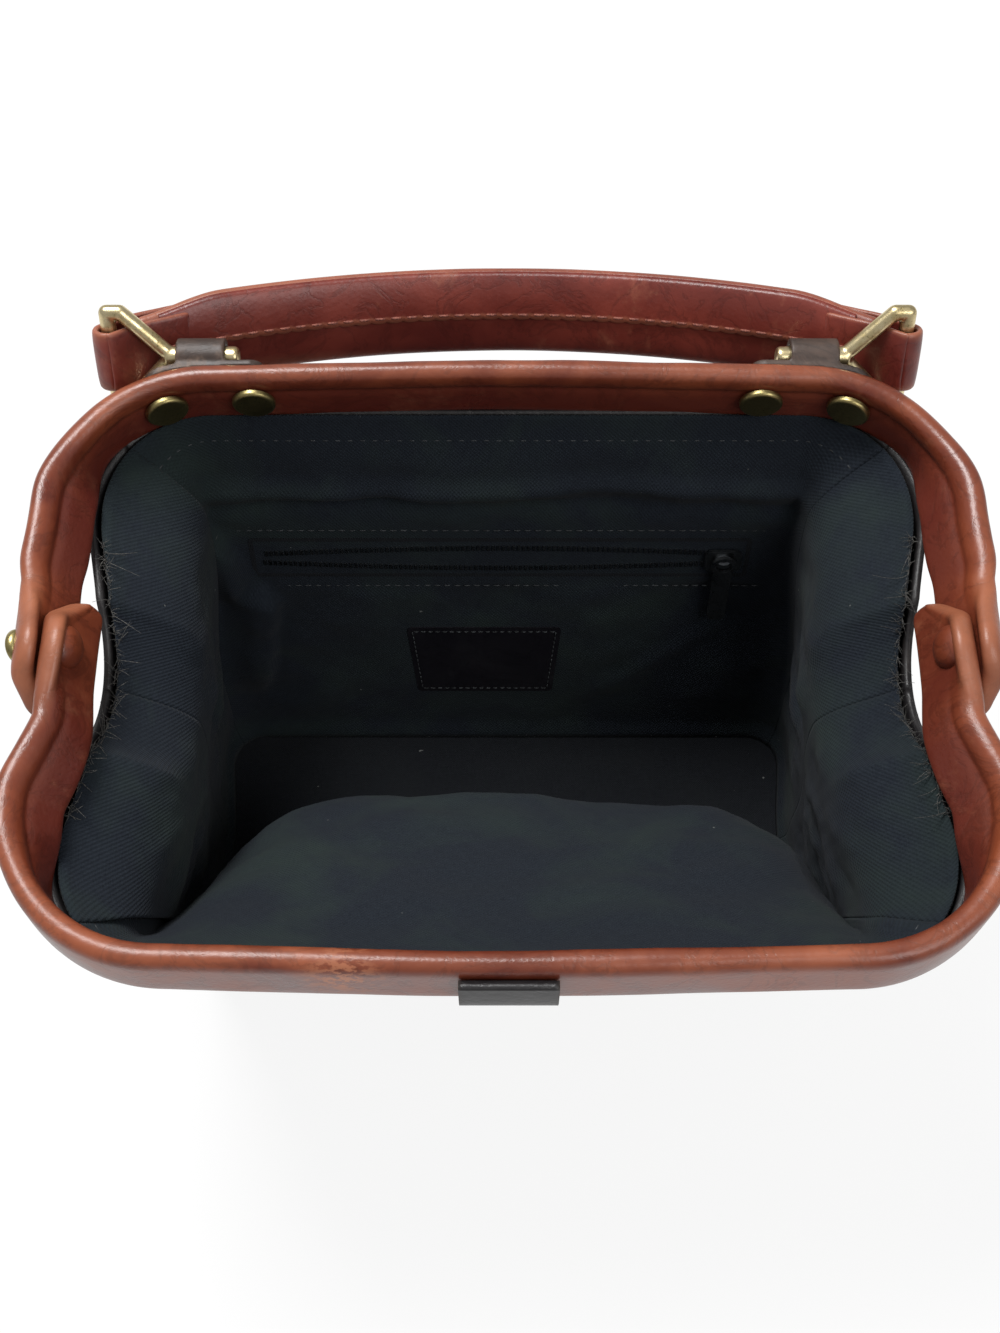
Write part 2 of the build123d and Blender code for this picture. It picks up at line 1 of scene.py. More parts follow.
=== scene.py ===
"""Looks of the top handle satchel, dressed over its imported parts.

Shapes are worked out in millimetres, in the parts' own frame, and scaled to metres as each mesh is made.
"""
import json
import bmesh
import bpy
import numpy as np
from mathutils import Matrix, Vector


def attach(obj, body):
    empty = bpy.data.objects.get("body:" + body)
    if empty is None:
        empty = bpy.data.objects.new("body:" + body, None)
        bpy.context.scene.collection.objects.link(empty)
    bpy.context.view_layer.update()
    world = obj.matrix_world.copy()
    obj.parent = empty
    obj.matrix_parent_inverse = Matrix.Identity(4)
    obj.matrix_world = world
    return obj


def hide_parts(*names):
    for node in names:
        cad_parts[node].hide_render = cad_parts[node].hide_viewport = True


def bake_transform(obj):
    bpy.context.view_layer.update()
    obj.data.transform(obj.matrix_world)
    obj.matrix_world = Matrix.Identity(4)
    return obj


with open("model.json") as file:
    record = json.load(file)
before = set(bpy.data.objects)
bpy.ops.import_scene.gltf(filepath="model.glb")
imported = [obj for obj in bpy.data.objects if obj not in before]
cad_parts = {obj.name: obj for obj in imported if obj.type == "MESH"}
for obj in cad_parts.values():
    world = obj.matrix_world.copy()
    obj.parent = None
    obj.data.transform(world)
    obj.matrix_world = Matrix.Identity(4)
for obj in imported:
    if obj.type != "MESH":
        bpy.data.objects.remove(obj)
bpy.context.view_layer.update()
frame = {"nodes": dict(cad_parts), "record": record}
MM = 0.001
SIDES = (("right", 1.0), ("left", -1.0))
HALVES = ((False, "back"), (True, "front"))

# Sizes that the parts have, in millimetres
HINGE_Z = 155.0  # height of the hinge axis, which lies along x
TILT = np.radians(3.5)  # rise of the open frames from the hinges outward
MOUTH = 120.0  # half width of the frames
LEG = 80.0  # from the hinge axis to the end of a frame's corners
CORNER = 41.0
BOW = 3.0  # how far a rail bows out at its middle
BAND, BAND_DEPTH = 6.3, 19.0  # the leather-wrapped band's thickness and depth
BACK_LEG, FRONT_LEG = 121.0, 114.4  # half widths at the ears: the back frame's lie outside
BASE_TOP_Z = 2.2
FLOOR_TOP_Z = 5.9
SKIN_INSET = 0.9  # from the body's outline to the middle of its leather
LINING_INSET, LINING_TOP_INSET = 4.9, 2.3
PIVOT = np.array([0.0, 86.604, 153.484])  # middle of the handle's swing axis
DROOP = np.radians(30.0)
ZIP_AT = np.array([-2.0, 60.64, 90.0])
ZIP_UP = np.array([0.0, 0.2330, 0.9725])
ZIP_OUT = np.array([0.0, -0.9725, 0.2330])
PATCH_X = -7.0

# Forms that are given here, in millimetres
EAR_END = 18.0  # where the ears end, along the legs
# (t, n, radius) of the round ear and of its tip, then the corners of the band's end
EAR_HULL = [(0.0, -2.6, 9.2), (-12.0, -9.4, 4.1), (EAR_END, -0.3, 0.0), (EAR_END, -14.5, 0.0)]
LEG_LEAN, EAR_LEAN = np.radians(32), np.radians(26)
SWING_BACK, SWING_FRONT = 3.0, 1.6  # how far the leaning legs stand out
CURL = 0.34  # how far an ear curls inward above the hinge axis, for its height
SCOOP = 26.8  # radius of the rim's scoop under each hinge
# The body's half width, half depth, corner radius and depth of the ends' fold, at its base and its rim
BASE_OUTLINE, RIM_OUTLINE = (100.0, 45.0, 19.0, 3.5), (118.5, 78.5, 39.5, 16.0)
FRONT_SLUMP = 40.0
RISE = 26.5  # of the handle's crown over its ends
HALF_STRAP = 100.0
STRAP_HALF_WIDTH, STRAP_HALF_THICK = 12.25, 3.2


# Smooth noise and small helpers

def ripple(points, size, seed, octaves=3):
    """Sum of sine waves with random headings and phases; each octave halves their length and height."""
    rng = np.random.default_rng(seed)
    total = np.zeros(points.shape[:-1])
    for octave in range(octaves):
        heading = rng.normal(size=(6, 3))
        heading /= np.linalg.norm(heading, axis=1, keepdims=True)
        phase = rng.uniform(0, 2 * np.pi, 6)
        waves = np.sin(points @ heading.T * (2 * np.pi / size * 2 ** octave) + phase)
        total += waves.sum(-1) / 6 / 2 ** octave
    return total


def smooth(value, low, high):
    """0 below low, 1 above high, and 3t^2 - 2t^3 between."""
    t = np.clip((value - low) / (high - low), 0, 1)
    return t * t * (3 - 2 * t)


def soft_abs(q, k):
    """|q|, with a parabola in place of the kink where |q| is under k."""
    a = np.abs(q)
    return np.where(a < k, (a * a + k * k) / (2 * k), a)


def unit(v):
    """Vectors along the last axis, scaled to length 1."""
    return v / np.maximum(np.linalg.norm(v, axis=-1, keepdims=True), 1e-9)


def curve_through(points, count):
    """Catmull-Rom curve: a cubic between two points, whose end slopes are half the step past each."""
    p = np.asarray(points, float)
    q = np.vstack([2 * p[0] - p[1], p, 2 * p[-1] - p[-2]])
    s = np.linspace(0, len(p) - 1, count)
    i = np.minimum(s.astype(int), len(p) - 2)
    t = (s - i)[:, None]
    a, b, c, d = q[i], q[i + 1], q[i + 2], q[i + 3]
    bend = (2 * a - 5 * b + 4 * c - d) * t ** 2 + (3 * b - a - 3 * c + d) * t ** 3
    return 0.5 * (2 * b + (c - a) * t + bend)


def run_length(points):
    """Distance along a line of points, from 0 at the first."""
    step = np.linalg.norm(np.diff(points, axis=0), axis=-1)
    return np.concatenate([[0], np.cumsum(step)])


def left_of(line):
    """Unit normals on the left of a line drawn flat."""
    ahead = unit(np.gradient(line, axis=0))
    return np.stack([-ahead[:, 1], ahead[:, 0]], -1)


def cap_ends(grid):
    """A tube's grid with both ends drawn together at their middles."""
    ends = [row.mean(1, keepdims=True).repeat(grid.shape[1], 1) for row in (grid[:1], grid[-1:])]
    return np.concatenate([ends[0], grid, ends[1]])


def flip_front(points):
    """A half turn about the upright axis, which takes the back frame's place to the front one's."""
    return points * np.array([-1.0, -1.0, 1.0])


def frame_world(x, t, n):
    """From a frame's flat drawing to its open rest place at the back, turned up by TILT at the hinges."""
    cos, sin = np.cos(TILT), np.sin(TILT)
    return np.stack([x, t * cos - n * sin, HINGE_Z + t * sin + n * cos], -1)


def handle_world(x, q, m):
    """From the handle's drawing to its place: q leads away from the ring feet and m runs across the strap."""
    cos, sin = np.cos(DROOP), np.sin(DROOP)
    return np.stack([PIVOT[0] + x, PIVOT[1] + q * cos + m * sin, PIVOT[2] - q * sin + m * cos], -1)


def off_strap(line, out, lift, m):
    """Places at a lift along out from a line in (x, q), and m across the strap."""
    x = line[:, :1] + out[:, :1] * lift
    q = line[:, 1:] + out[:, 1:] * lift
    return handle_world(x, q, m + 0 * x)


def zip_world(x, up, out):
    """From the zip's own drawing, along it, up the lining and into the bag, to its place."""
    return ZIP_AT + x[..., None] * np.array([1.0, 0, 0]) + up[..., None] * ZIP_UP + out[..., None] * ZIP_OUT


# Meshes

def make_mesh(name, points, faces, uv=None, attributes=None, weld=True, outward=False):
    """An object from points in millimetres; uv is one pair per face corner, in metres."""
    mesh = bpy.data.meshes.new(name)
    mesh.from_pydata((np.asarray(points) * MM).tolist(), [], np.asarray(faces).tolist())
    if uv is not None:
        layer = mesh.uv_layers.new(name="UVMap")
        layer.data.foreach_set("uv", np.asarray(uv, np.float32).ravel())
    for key, values in (attributes or {}).items():
        layer = mesh.attributes.new(key, "FLOAT", "POINT")
        layer.data.foreach_set("value", np.asarray(values, np.float32).ravel())
    if weld or outward:
        bm = bmesh.new()
        bm.from_mesh(mesh)
        if weld:
            bmesh.ops.remove_doubles(bm, verts=bm.verts, dist=2e-6)
            bmesh.ops.dissolve_degenerate(bm, edges=bm.edges, dist=1e-7)
        if outward:
            bmesh.ops.recalc_face_normals(bm, faces=bm.faces)
        bm.to_mesh(mesh)
        bm.free()
    mesh.polygons.foreach_set("use_smooth", np.ones(len(mesh.polygons), bool))
    made = bpy.data.objects.new(name, mesh)
    bpy.context.scene.collection.objects.link(made)
    return made


def grid_faces(rows, cols, closed=False):
    """Corner numbers of the quads of a grid of points, and the grid places that their uv is read from."""
    r, c = np.meshgrid(np.arange(rows - 1), np.arange(cols if closed else cols - 1), indexing="ij")
    corners = [(r, c), (r, c + 1), (r + 1, c + 1), (r + 1, c)]
    faces = np.stack([a * cols + b % cols for a, b in corners], -1).reshape(-1, 4)
    places = np.stack([np.stack([a, b], -1) for a, b in corners], 2).reshape(-1, 4, 2)
    return faces, places


def surface(name, grid, closed=False, attributes=None, outward=False, planar=False):
    """A mesh on a grid of points, whose rows may close to rings.

    Its uv, in metres, runs along and across its middle lines, or is planar in y and z.
    """
    rows, cols = grid.shape[:2]
    faces, places = grid_faces(rows, cols, closed)
    along = run_length(grid[:, cols // 2])
    across = run_length(grid[rows // 2])
    if closed:
        across = np.append(across, across[-1] + np.linalg.norm(grid[rows // 2, 0] - grid[rows // 2, -1]))
    corner_uv = np.stack([across[places[..., 1]], along[places[..., 0]]], -1) * MM
    if planar:
        corner_uv = grid[places[..., 0], places[..., 1], 1:] * MM
    flat = {k: v.reshape(-1) for k, v in (attributes or {}).items()}
    return make_mesh(name, grid.reshape(-1, 3), faces, corner_uv.reshape(-1, 2), flat, outward=outward)


def modify(made, kind, **settings):
    """Adds a modifier with its settings."""
    modifier = made.modifiers.new(kind.lower(), kind)
    for key, value in settings.items():
        setattr(modifier, key, value)
    return modifier


def refine(made):
    """One level of subdivision, the same in view and render."""
    modify(made, "SUBSURF", levels=1, render_levels=1)


def thicken(made, thick):
    """Solidify by a thickness in millimetres, half of it to each side."""
    modify(made, "SOLIDIFY", thickness=thick * MM, offset=0.0)


def dress(made, material, body=None, replaces=()):
    """Material, body and the CAD nodes that the piece stands for."""
    made.data.materials.clear()
    made.data.materials.append(material)
    if body:
        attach(made, body)
    if replaces:
        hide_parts(*replaces)
    return made


def stitch_row(points, out, length, radius):
    """Thread stitches: short capsules laid from point to next point, sunk at both ends.

    A stitch is a closed bead, length/2 * cos(a) along the row and radius * sin(a)^0.6 round its own axis;
    its ends dip below the surface by 1.2 radii times cos(a)^4.
    """
    rings, sides = 6, 5
    ahead = unit(np.gradient(points, axis=0))
    side = unit(np.cross(out, ahead))
    a = np.linspace(0, np.pi, rings)[:, None]
    b = np.linspace(0, 2 * np.pi, sides + 1)[:-1]
    along = np.cos(a) * length / 2 * np.ones(sides)
    wide = np.sin(a) ** 0.6 * radius * np.cos(b)
    up = np.sin(a) ** 0.6 * radius * np.sin(b) - radius * 1.2 * np.cos(a) ** 4
    cells = (points[:, None, None] + along[..., None] * ahead[:, None, None]
             + wide[..., None] * side[:, None, None] + (up + radius * 0.4)[..., None] * out[:, None, None])
    one, _ = grid_faces(rings, sides, True)
    faces = np.concatenate([one + k * rings * sides for k in range(len(points))])
    return cells.reshape(-1, 3), faces


def joined(rows):
    """One list of points and one of faces from several rows of stitches."""
    starts = np.cumsum([0] + [len(points) for points, _ in rows])
    return (np.concatenate([points for points, _ in rows]),
            np.concatenate([faces + start for (_, faces), start in zip(rows, starts)]))


def every(points, pitch):
    """Points at an even pitch along a line, and the share of the line at which each lies."""
    length = run_length(points)
    count = max(int(length[-1] / pitch), 2)
    at = (np.arange(count) + 0.5) * length[-1] / count
    return np.stack([np.interp(at, length, points[:, k]) for k in range(3)], -1), at / length[-1]


# Shader groups and materials

def put(tree, kind, inputs=None, **settings):
    """Adds a node; an input is a value, or another node's output, which is linked."""
    node = tree.nodes.new(kind)
    for key, value in settings.items():
        setattr(node, key, value)
    for key, value in (inputs or {}).items():
        if isinstance(value, bpy.types.NodeSocket):
            tree.links.new(value, node.inputs[key])
        else:
            node.inputs[key].default_value = value
    return node


def maths(tree, operation, a, b=0.0, c=0.0):
    """One maths node's result."""
    return put(tree, "ShaderNodeMath", {0: a, 1: b, 2: c}, operation=operation).outputs[0]


def blend_colour(tree, share, a, b):
    """Mix of two colours by a share."""
    node = put(tree, "ShaderNodeMix", data_type="RGBA")
    for index, value in ((0, share), (6, a), (7, b)):
        if isinstance(value, bpy.types.NodeSocket):
            tree.links.new(value, node.inputs[index])
        else:
            node.inputs[index].default_value = value if index == 0 else (*value, 1.0)
    return node.outputs[2]


def remap(tree, value, low, high, to_low=0.0, to_high=1.0):
    """Clamped straight-line change of range."""
    return put(tree, "ShaderNodeMapRange", {0: value, 1: low, 2: high, 3: to_low, 4: to_high}).outputs[0]


def group(name, inputs, outputs):
    """An empty shader group with a Vector input, float inputs with their values, and float outputs."""
    tree = bpy.data.node_groups.new(name, "ShaderNodeTree")
    tree.interface.new_socket("Vector", in_out="INPUT", socket_type="NodeSocketVector")
    for key, value in inputs.items():
        tree.interface.new_socket(key, in_out="INPUT", socket_type="NodeSocketFloat").default_value = value
    for key in outputs:
        tree.interface.new_socket(key, in_out="OUTPUT", socket_type="NodeSocketFloat")
    return tree, tree.nodes.new("NodeGroupInput"), tree.nodes.new("NodeGroupOutput")


def noise(tree, vector, scale, detail=2.0, rough=0.5, stretch=None, warp=0.0):
    """Noise texture's value."""
    if stretch:
        vector = put(tree, "ShaderNodeVectorMath", {0: vector, 1: stretch}, operation="MULTIPLY").outputs[0]
    return put(tree, "ShaderNodeTexNoise", {"Vector": vector, "Scale": scale, "Detail": detail,
                                            "Roughness": rough, "Distortion": warp}).outputs[0]


def build_leather_group():
    """Leather: pebbled grain with fine pores, slow mottling, creases and scuffs."""
    tree, into, out = group("leather", {"Grain Size": 900.0, "Scuff": 0.3},
                            ["Height", "Mottle", "Scuffs", "Creases"])
    where = into.outputs["Vector"]
    grain = put(tree, "ShaderNodeTexVoronoi", {"Vector": where, "Scale": into.outputs["Grain Size"]},
                feature="SMOOTH_F1").outputs[0]
    fine = noise(tree, where, 2600.0, 3.0)
    creases = noise(tree, where, 60.0, 6.0, 0.62, warp=1.2)
    lines = remap(tree, maths(tree, "ABSOLUTE", maths(tree, "SUBTRACT", creases, 0.5)), 0.0, 0.035, 1.0, 0.0)
    mottle = noise(tree, where, 32.0, 4.0, 0.6, warp=0.6)
    spread = noise(tree, where, 220.0, 5.0, 0.7)
    marks = noise(tree, where, 45.0, 5.0, 0.75, stretch=(1.0, 1.0, 0.35))
    worn = maths(tree, "MULTIPLY", remap(tree, marks, 0.56, 0.72), remap(tree, spread, 0.42, 0.62))
    height = maths(tree, "ADD", maths(tree, "MULTIPLY", grain, 0.7), maths(tree, "MULTIPLY", fine, 0.3))
    height = maths(tree, "SUBTRACT", height, maths(tree, "MULTIPLY", lines, 0.35))
    tree.links.new(height, out.inputs["Height"])
    tree.links.new(mottle, out.inputs["Mottle"])
    tree.links.new(maths(tree, "MULTIPLY", worn, into.outputs["Scuff"]), out.inputs["Scuffs"])
    tree.links.new(lines, out.inputs["Creases"])
    return tree


def build_weave_group():
    """Plain weave, sin(x) * sin(y) in threads of a given pitch, with thicker slubs both ways and lint."""
    tree, into, out = group("weave", {"Threads per Metre": 1700.0}, ["Height", "Shade", "Lint"])
    where = into.outputs["Vector"]
    turned = put(tree, "ShaderNodeVectorMath", {0: where}, operation="SCALE")
    tree.links.new(maths(tree, "MULTIPLY", into.outputs["Threads per Metre"], np.pi), turned.inputs[3])
    split = put(tree, "ShaderNodeSeparateXYZ", {0: turned.outputs[0]})
    waves = [maths(tree, "SINE", split.outputs[k]) for k in (0, 1)]
    woven = maths(tree, "MULTIPLY", *waves)
    slubs = [noise(tree, where, 300.0, 4.0, 0.7, stretch=way) for way in ((1.0, 12.0, 1.0), (12.0, 1.0, 1.0))]
    shade = maths(tree, "ADD", *(maths(tree, "MULTIPLY", slub, 0.5) for slub in slubs))
    tree.links.new(maths(tree, "ADD", woven, maths(tree, "MULTIPLY", shade, 1.5)), out.inputs["Height"])
    tree.links.new(shade, out.inputs["Shade"])
    tree.links.new(remap(tree, noise(tree, where, 420.0, 1.0, 0.5), 0.80, 0.84), out.inputs["Lint"])
    return tree


LEATHER = build_leather_group()
WEAVE = build_weave_group()


def new_material(name):
    """A material with its Principled shader and object coordinates."""
    material = bpy.data.materials.new(name)
    material.use_nodes = True
    tree = material.node_tree
    shader = tree.nodes["Principled BSDF"]
    where = tree.nodes.new("ShaderNodeTexCoord").outputs["Object"]
    return material, tree, shader, where


def attribute(tree, name):
    """A vertex attribute's value."""
    return put(tree, "ShaderNodeAttribute", attribute_name=name).outputs["Fac"]


def bump(tree, shader, height, strength, distance):
    """Bump from a height into the shader's normal."""
    node = put(tree, "ShaderNodeBump", {"Height": height, "Strength": strength, "Distance": distance})
    tree.links.new(node.outputs[0], shader.inputs["Normal"])


def leather_material(name, light, deep, worn, gloss, grain=900.0, scuff=0.5, depth=0.00012,
                     flange_shade=None, scar=None):
    """Leather whose colour runs from deep to light by mottle, with painted shade darkening its crease lines, worn
    pale on edges and scuffs.

    Where the piece's facing attribute is 1 it turns to the darker facing colour, painted shade on faces turned
    inward. It is scraped round the scar's place.
    """
    material, tree, shader, where = new_material(name)
    leather = put(tree, "ShaderNodeGroup", {}, node_tree=LEATHER)
    tree.links.new(where, leather.inputs["Vector"])
    leather.inputs["Grain Size"].default_value = grain
    leather.inputs["Scuff"].default_value = scuff
    mottle = leather.outputs["Mottle"]
    colour = blend_colour(tree, remap(tree, mottle, 0.34, 0.68), deep, light)
    # painted shade: faces turned inward, away from the lamps, are darkened towards the facing colour
    if flange_shade:
        inner = maths(tree, "MULTIPLY", attribute(tree, "flange_shade"), remap(tree, mottle, 0.3, 0.6, 1.0, 0.8))
        colour = blend_colour(tree, inner, colour, flange_shade)
    # painted shade: the crease lines, sunk by the bump, are also darkened in colour
    creased = maths(tree, "MULTIPLY", leather.outputs["Creases"], 0.35)
    colour = blend_colour(tree, creased, colour, tuple(c * 0.45 for c in deep))
    edge = maths(tree, "ADD", attribute(tree, "wear"), maths(tree, "MULTIPLY", mottle, 0.5))
    rubbed = maths(tree, "MAXIMUM", remap(tree, edge, 0.75, 1.45, 0.0, 0.5), leather.outputs["Scuffs"])
    if scar:
        near = put(tree, "ShaderNodeVectorMath", {0: where, 1: scar}, operation="DISTANCE").outputs["Value"]
        scratches = remap(tree, noise(tree, where, 380.0, 5.0, 0.7, stretch=(1.0, 2.5, 1.0)), 0.46, 0.56)
        scraped = maths(tree, "MULTIPLY", remap(tree, near, 0.003, 0.012, 1.0, 0.0), scratches)
        rubbed = maths(tree, "MAXIMUM", rubbed, scraped)
    colour = blend_colour(tree, rubbed, colour, worn)
    tree.links.new(colour, shader.inputs["Base Color"])
    rough = maths(tree, "ADD", remap(tree, mottle, 0.3, 0.7, gloss - 0.06, gloss + 0.08),
                  maths(tree, "MULTIPLY", rubbed, 0.18))
    tree.links.new(rough, shader.inputs["Roughness"])
    bump(tree, shader, leather.outputs["Height"], 0.55, depth)
    return material


def cloth_material(name, light, deep, fade, threads=1700.0, own_map=True):
    """Dark woven lining: two-tone threads, faded patches and a little lint.

    The weave follows the sheet's own flat map, or plain object coordinates on the nodes that have none.
    """
    material, tree, shader, where = new_material(name)
    weave = put(tree, "ShaderNodeGroup", {}, node_tree=WEAVE)
    if own_map:
        uv = tree.nodes.new("ShaderNodeUVMap")
        uv.uv_map = "UVMap"
        tree.links.new(uv.outputs[0], weave.inputs["Vector"])
    else:
        tree.links.new(where, weave.inputs["Vector"])
    weave.inputs["Threads per Metre"].default_value = threads
    colour = blend_colour(tree, remap(tree, weave.outputs["Shade"], 0.3, 0.7), deep, light)
    faded = remap(tree, noise(tree, where, 26.0, 4.0, 0.6, warp=0.5), 0.45, 0.75, 0.0, 0.75)
    colour = blend_colour(tree, faded, colour, fade)
    lint = maths(tree, "MULTIPLY", weave.outputs["Lint"], 0.5)
    colour = blend_colour(tree, lint, colour, (0.35, 0.36, 0.34))
    tree.links.new(colour, shader.inputs["Base Color"])
    shader.inputs["Roughness"].default_value = 0.9
    shader.inputs["Specular IOR Level"].default_value = 0.18
    shader.inputs["Sheen Weight"].default_value = 0.03
    shader.inputs["Sheen Roughness"].default_value = 0.5
    bump(tree, shader, weave.outputs["Height"], 0.6, 0.00018)
    return material


def metal_material(name, light, deep, tarnish, rough):
    """Metal with cloudy tarnish, pits and fine scratches."""
    material, tree, shader, where = new_material(name)
    cloud = noise(tree, where, 180.0, 5.0, 0.65, warp=0.4)
    pits = noise(tree, where, 1500.0, 3.0, 0.6)
    scratch = noise(tree, where, 500.0, 4.0, 0.7, stretch=(1.0, 14.0, 3.0))
    colour = blend_colour(tree, remap(tree, cloud, 0.35, 0.62), light, deep)
    spots = maths(tree, "MULTIPLY", remap(tree, pits, 0.55, 0.72), remap(tree, cloud, 0.42, 0.6))
    colour = blend_colour(tree, spots, colour, tarnish)
    tree.links.new(colour, shader.inputs["Base Color"])
    shader.inputs["Metallic"].default_value = 1.0
    tree.links.new(remap(tree, cloud, 0.3, 0.7, rough - 0.07, rough + 0.16), shader.inputs["Roughness"])
    bump(tree, shader, maths(tree, "ADD", scratch, pits), 0.25, 0.00006)
    return material


def thread_material(name, colour, dark):
    """Twisted thread, its colour running from dark to light along the twist."""
    material, tree, shader, where = new_material(name)
    twist = noise(tree, where, 2400.0, 2.0, 0.5, stretch=(1.0, 0.4, 1.0))
    shade = remap(tree, twist, 0.4, 0.6)
    tree.links.new(blend_colour(tree, shade, dark, colour), shader.inputs["Base Color"])
    shader.inputs["Roughness"].default_value = 0.7
    bump(tree, shader, twist, 0.5, 0.0001)
    return material


# Colours are given light, deep and worn (or tarnished), then the roughness
# tan's facing colour is painted shade, for the rim's inward flange
TAN = leather_material("tan_leather", (0.240, 0.056, 0.021), (0.118, 0.023, 0.012), (0.42, 0.16, 0.080), 0.33,
                       scuff=0.3, flange_shade=(0.105, 0.018, 0.012), scar=(-0.037, -0.0835, 0.1535))
OXBLOOD = leather_material("oxblood_leather", (0.19, 0.032, 0.020), (0.100, 0.015, 0.011), (0.40, 0.15, 0.08),
                           0.36)
BLACK = leather_material("black_leather", (0.016, 0.014, 0.014), (0.007, 0.006, 0.007), (0.07, 0.055, 0.045),
                         0.46, grain=620.0, depth=0.0002, scuff=0.25)
CHAPE_LEATHER = leather_material("chape_leather", (0.075, 0.045, 0.032), (0.018, 0.012, 0.010),
                                 (0.30, 0.20, 0.14), 0.5, scuff=0.6)
PATCH_LEATHER = leather_material("patch_leather", (0.012, 0.011, 0.014), (0.006, 0.005, 0.008),
                                 (0.05, 0.05, 0.055), 0.4, grain=700.0, scuff=0.3)
BOARD = leather_material("fibre_board", (0.26, 0.20, 0.14), (0.18, 0.13, 0.09), (0.34, 0.27, 0.2), 0.85,
                         grain=1500.0)
LINING = cloth_material("lining_cloth", (0.017, 0.023, 0.031), (0.005, 0.007, 0.012), (0.020, 0.032, 0.027))
TAPE = cloth_material("zip_tape", (0.014, 0.016, 0.020), (0.005, 0.006, 0.008), (0.012, 0.014, 0.016),
                      threads=2600.0, own_map=False)
BRASS = metal_material("aged_brass", (0.80, 0.68, 0.42), (0.50, 0.40, 0.20), (0.10, 0.075, 0.03), 0.30)
CAP_BRASS = metal_material("cap_brass", (0.42, 0.34, 0.15), (0.24, 0.20, 0.085), (0.07, 0.06, 0.03), 0.34)
DARK_METAL = metal_material("dark_metal", (0.34, 0.35, 0.36), (0.16, 0.17, 0.18), (0.05, 0.05, 0.05), 0.28)
STEEL = metal_material("frame_steel", (0.55, 0.55, 0.54), (0.42, 0.42, 0.42), (0.2, 0.15, 0.1), 0.38)
FILLER = thread_material("filler_cotton", (0.62, 0.56, 0.46), (0.45, 0.4, 0.32))
FRAY = thread_material("frayed_thread", (0.10, 0.095, 0.085), (0.03, 0.03, 0.03))
DARK_THREAD = thread_material("dark_thread", (0.050, 0.055, 0.060), (0.016, 0.018, 0.020))
RED_THREAD = thread_material("red_thread", (0.26, 0.085, 0.055), (0.12, 0.03, 0.02))


# Frames: leather wrapped over steel

def leg_edges(t):
    """Upper and lower edge of a leg: near the hinge the hull of the ear, its tip and the band's end.

    A hull's edge at t is the least (or most) of (h(a) - t cos a) / sin a over headings a, where h is the
    hull's reach in that heading: the greatest of c.d + r over its circles. The lower edge eases from the
    hull to the band's full depth between t = 6 and 30, and the upper one lies just under the bead.
    """
    def reach(a):
        return np.max([c[0] * np.cos(a) + c[1] * np.sin(a) + c[2] for c in EAR_HULL], 0)

    above = np.linspace(0.02, np.pi - 0.02, 400)
    below = above + np.pi
    top = ((reach(above) - t[:, None] * np.cos(above)) / np.sin(above)).min(1)
    low = ((reach(below) - t[:, None] * np.cos(below)) / np.sin(below)).max(1)
    past = smooth(t, EAR_END - 0.8, EAR_END)
    low = np.where(t < EAR_END - 0.5, low, EAR_HULL[-1][1])
    full = smooth(t, 6, 30)
    return top * (1 - past) + EAR_HULL[-2][1] * past, low * (1 - full) - (BAND_DEPTH + 0.3) * full


def rail_line(leg):
    """Flat outer line of a frame from the right leg's tip to the left one's, with its ear share and lean.

    Legs run out at x = leg and ease to the mouth's width; then come an arc of the corner's radius
    and a rail that bows by BOW at its middle. Points crowd towards the tip, as 1 - cos does.
    """
    tip = -16.0 + 34.0 * (1 - np.cos(np.linspace(0, np.pi / 2, 26)))
    bend = np.linspace(19, 40, 12)
    legs = np.concatenate([tip, bend])
    leg_x = leg + (MOUTH - leg) * smooth(legs, 17, 39)
    turn = np.radians(np.linspace(3, 91.4, 26))
    arc_x = MOUTH - CORNER + CORNER * np.cos(turn)
    arc_t = LEG - CORNER + BOW * CORNER / MOUTH + CORNER * np.sin(turn)
    rail_x = np.linspace(75, 0, 26)
    rail_t = LEG + BOW * (1 - soft_abs(rail_x / MOUTH, 0.2))
    x = np.concatenate([leg_x, arc_x, rail_x])
    t = np.concatenate([legs, arc_t, rail_t])
    half = len(x)
    x = np.concatenate([x, -x[-2::-1]])
    t = np.concatenate([t, t[-2::-1]])
    line = np.stack([x, t], -1)
    ear = 1 - smooth(t, 8, 26)
    corner = smooth(t, 44, 66)
    corner[half - len(rail_x) - 1:half + len(rail_x)] = 1
    lean = (LEG_LEAN + (EAR_LEAN - LEG_LEAN) * ear) * (1 - corner)
    return line, -left_of(line), ear, lean


def rim_section():
    """Profile of the wrapped band: (inward, down, groove, facing, wear) for each point, outer side first; facing
    is painted shade on the inner flange.
    """
    bead = np.radians(np.linspace(180, 0, 9))
    half = BAND / 2
    rows = [(0.0, d, 0, 0, w) for d, w in ((16.6, 0.2), (12.5, 0.1), (8.5, 0.1), (5.0, 0.25))]
    rows += [(half + half * np.cos(a), 3.2 - 3.2 * np.sin(a), 0, 0, 0.55 + 0.45 * np.sin(a)) for a in bead]
    rows += [
        (6.3, 4.4, 0, 0.15, 0.4), (6.25, 5.6, 0.1, 0.3, 0.3), (6.1, 6.5, 0.5, 0.5, 0.0),
        (6.1, 7.3, 0.5, 0.65, 0.0), (6.2, 8.6, 0.12, 0.75, 0.05), (6.2, 11.0, 0.05, 0.9, 0.1),
        (6.2, 14.5, 0.05, 1, 0.15), (6.2, 17.2, 0, 1, 0.35), (5.9, 18.6, 0, 1, 0.9),
        (4.9, 19.0, 0, 0.8, 1.0), (3.0, 19.0, 0, 0.5, 0.3), (1.2, 19.0, 0, 0, 0.6), (0.3, 18.5, 0, 0, 0.8)]
    return np.array(rows)


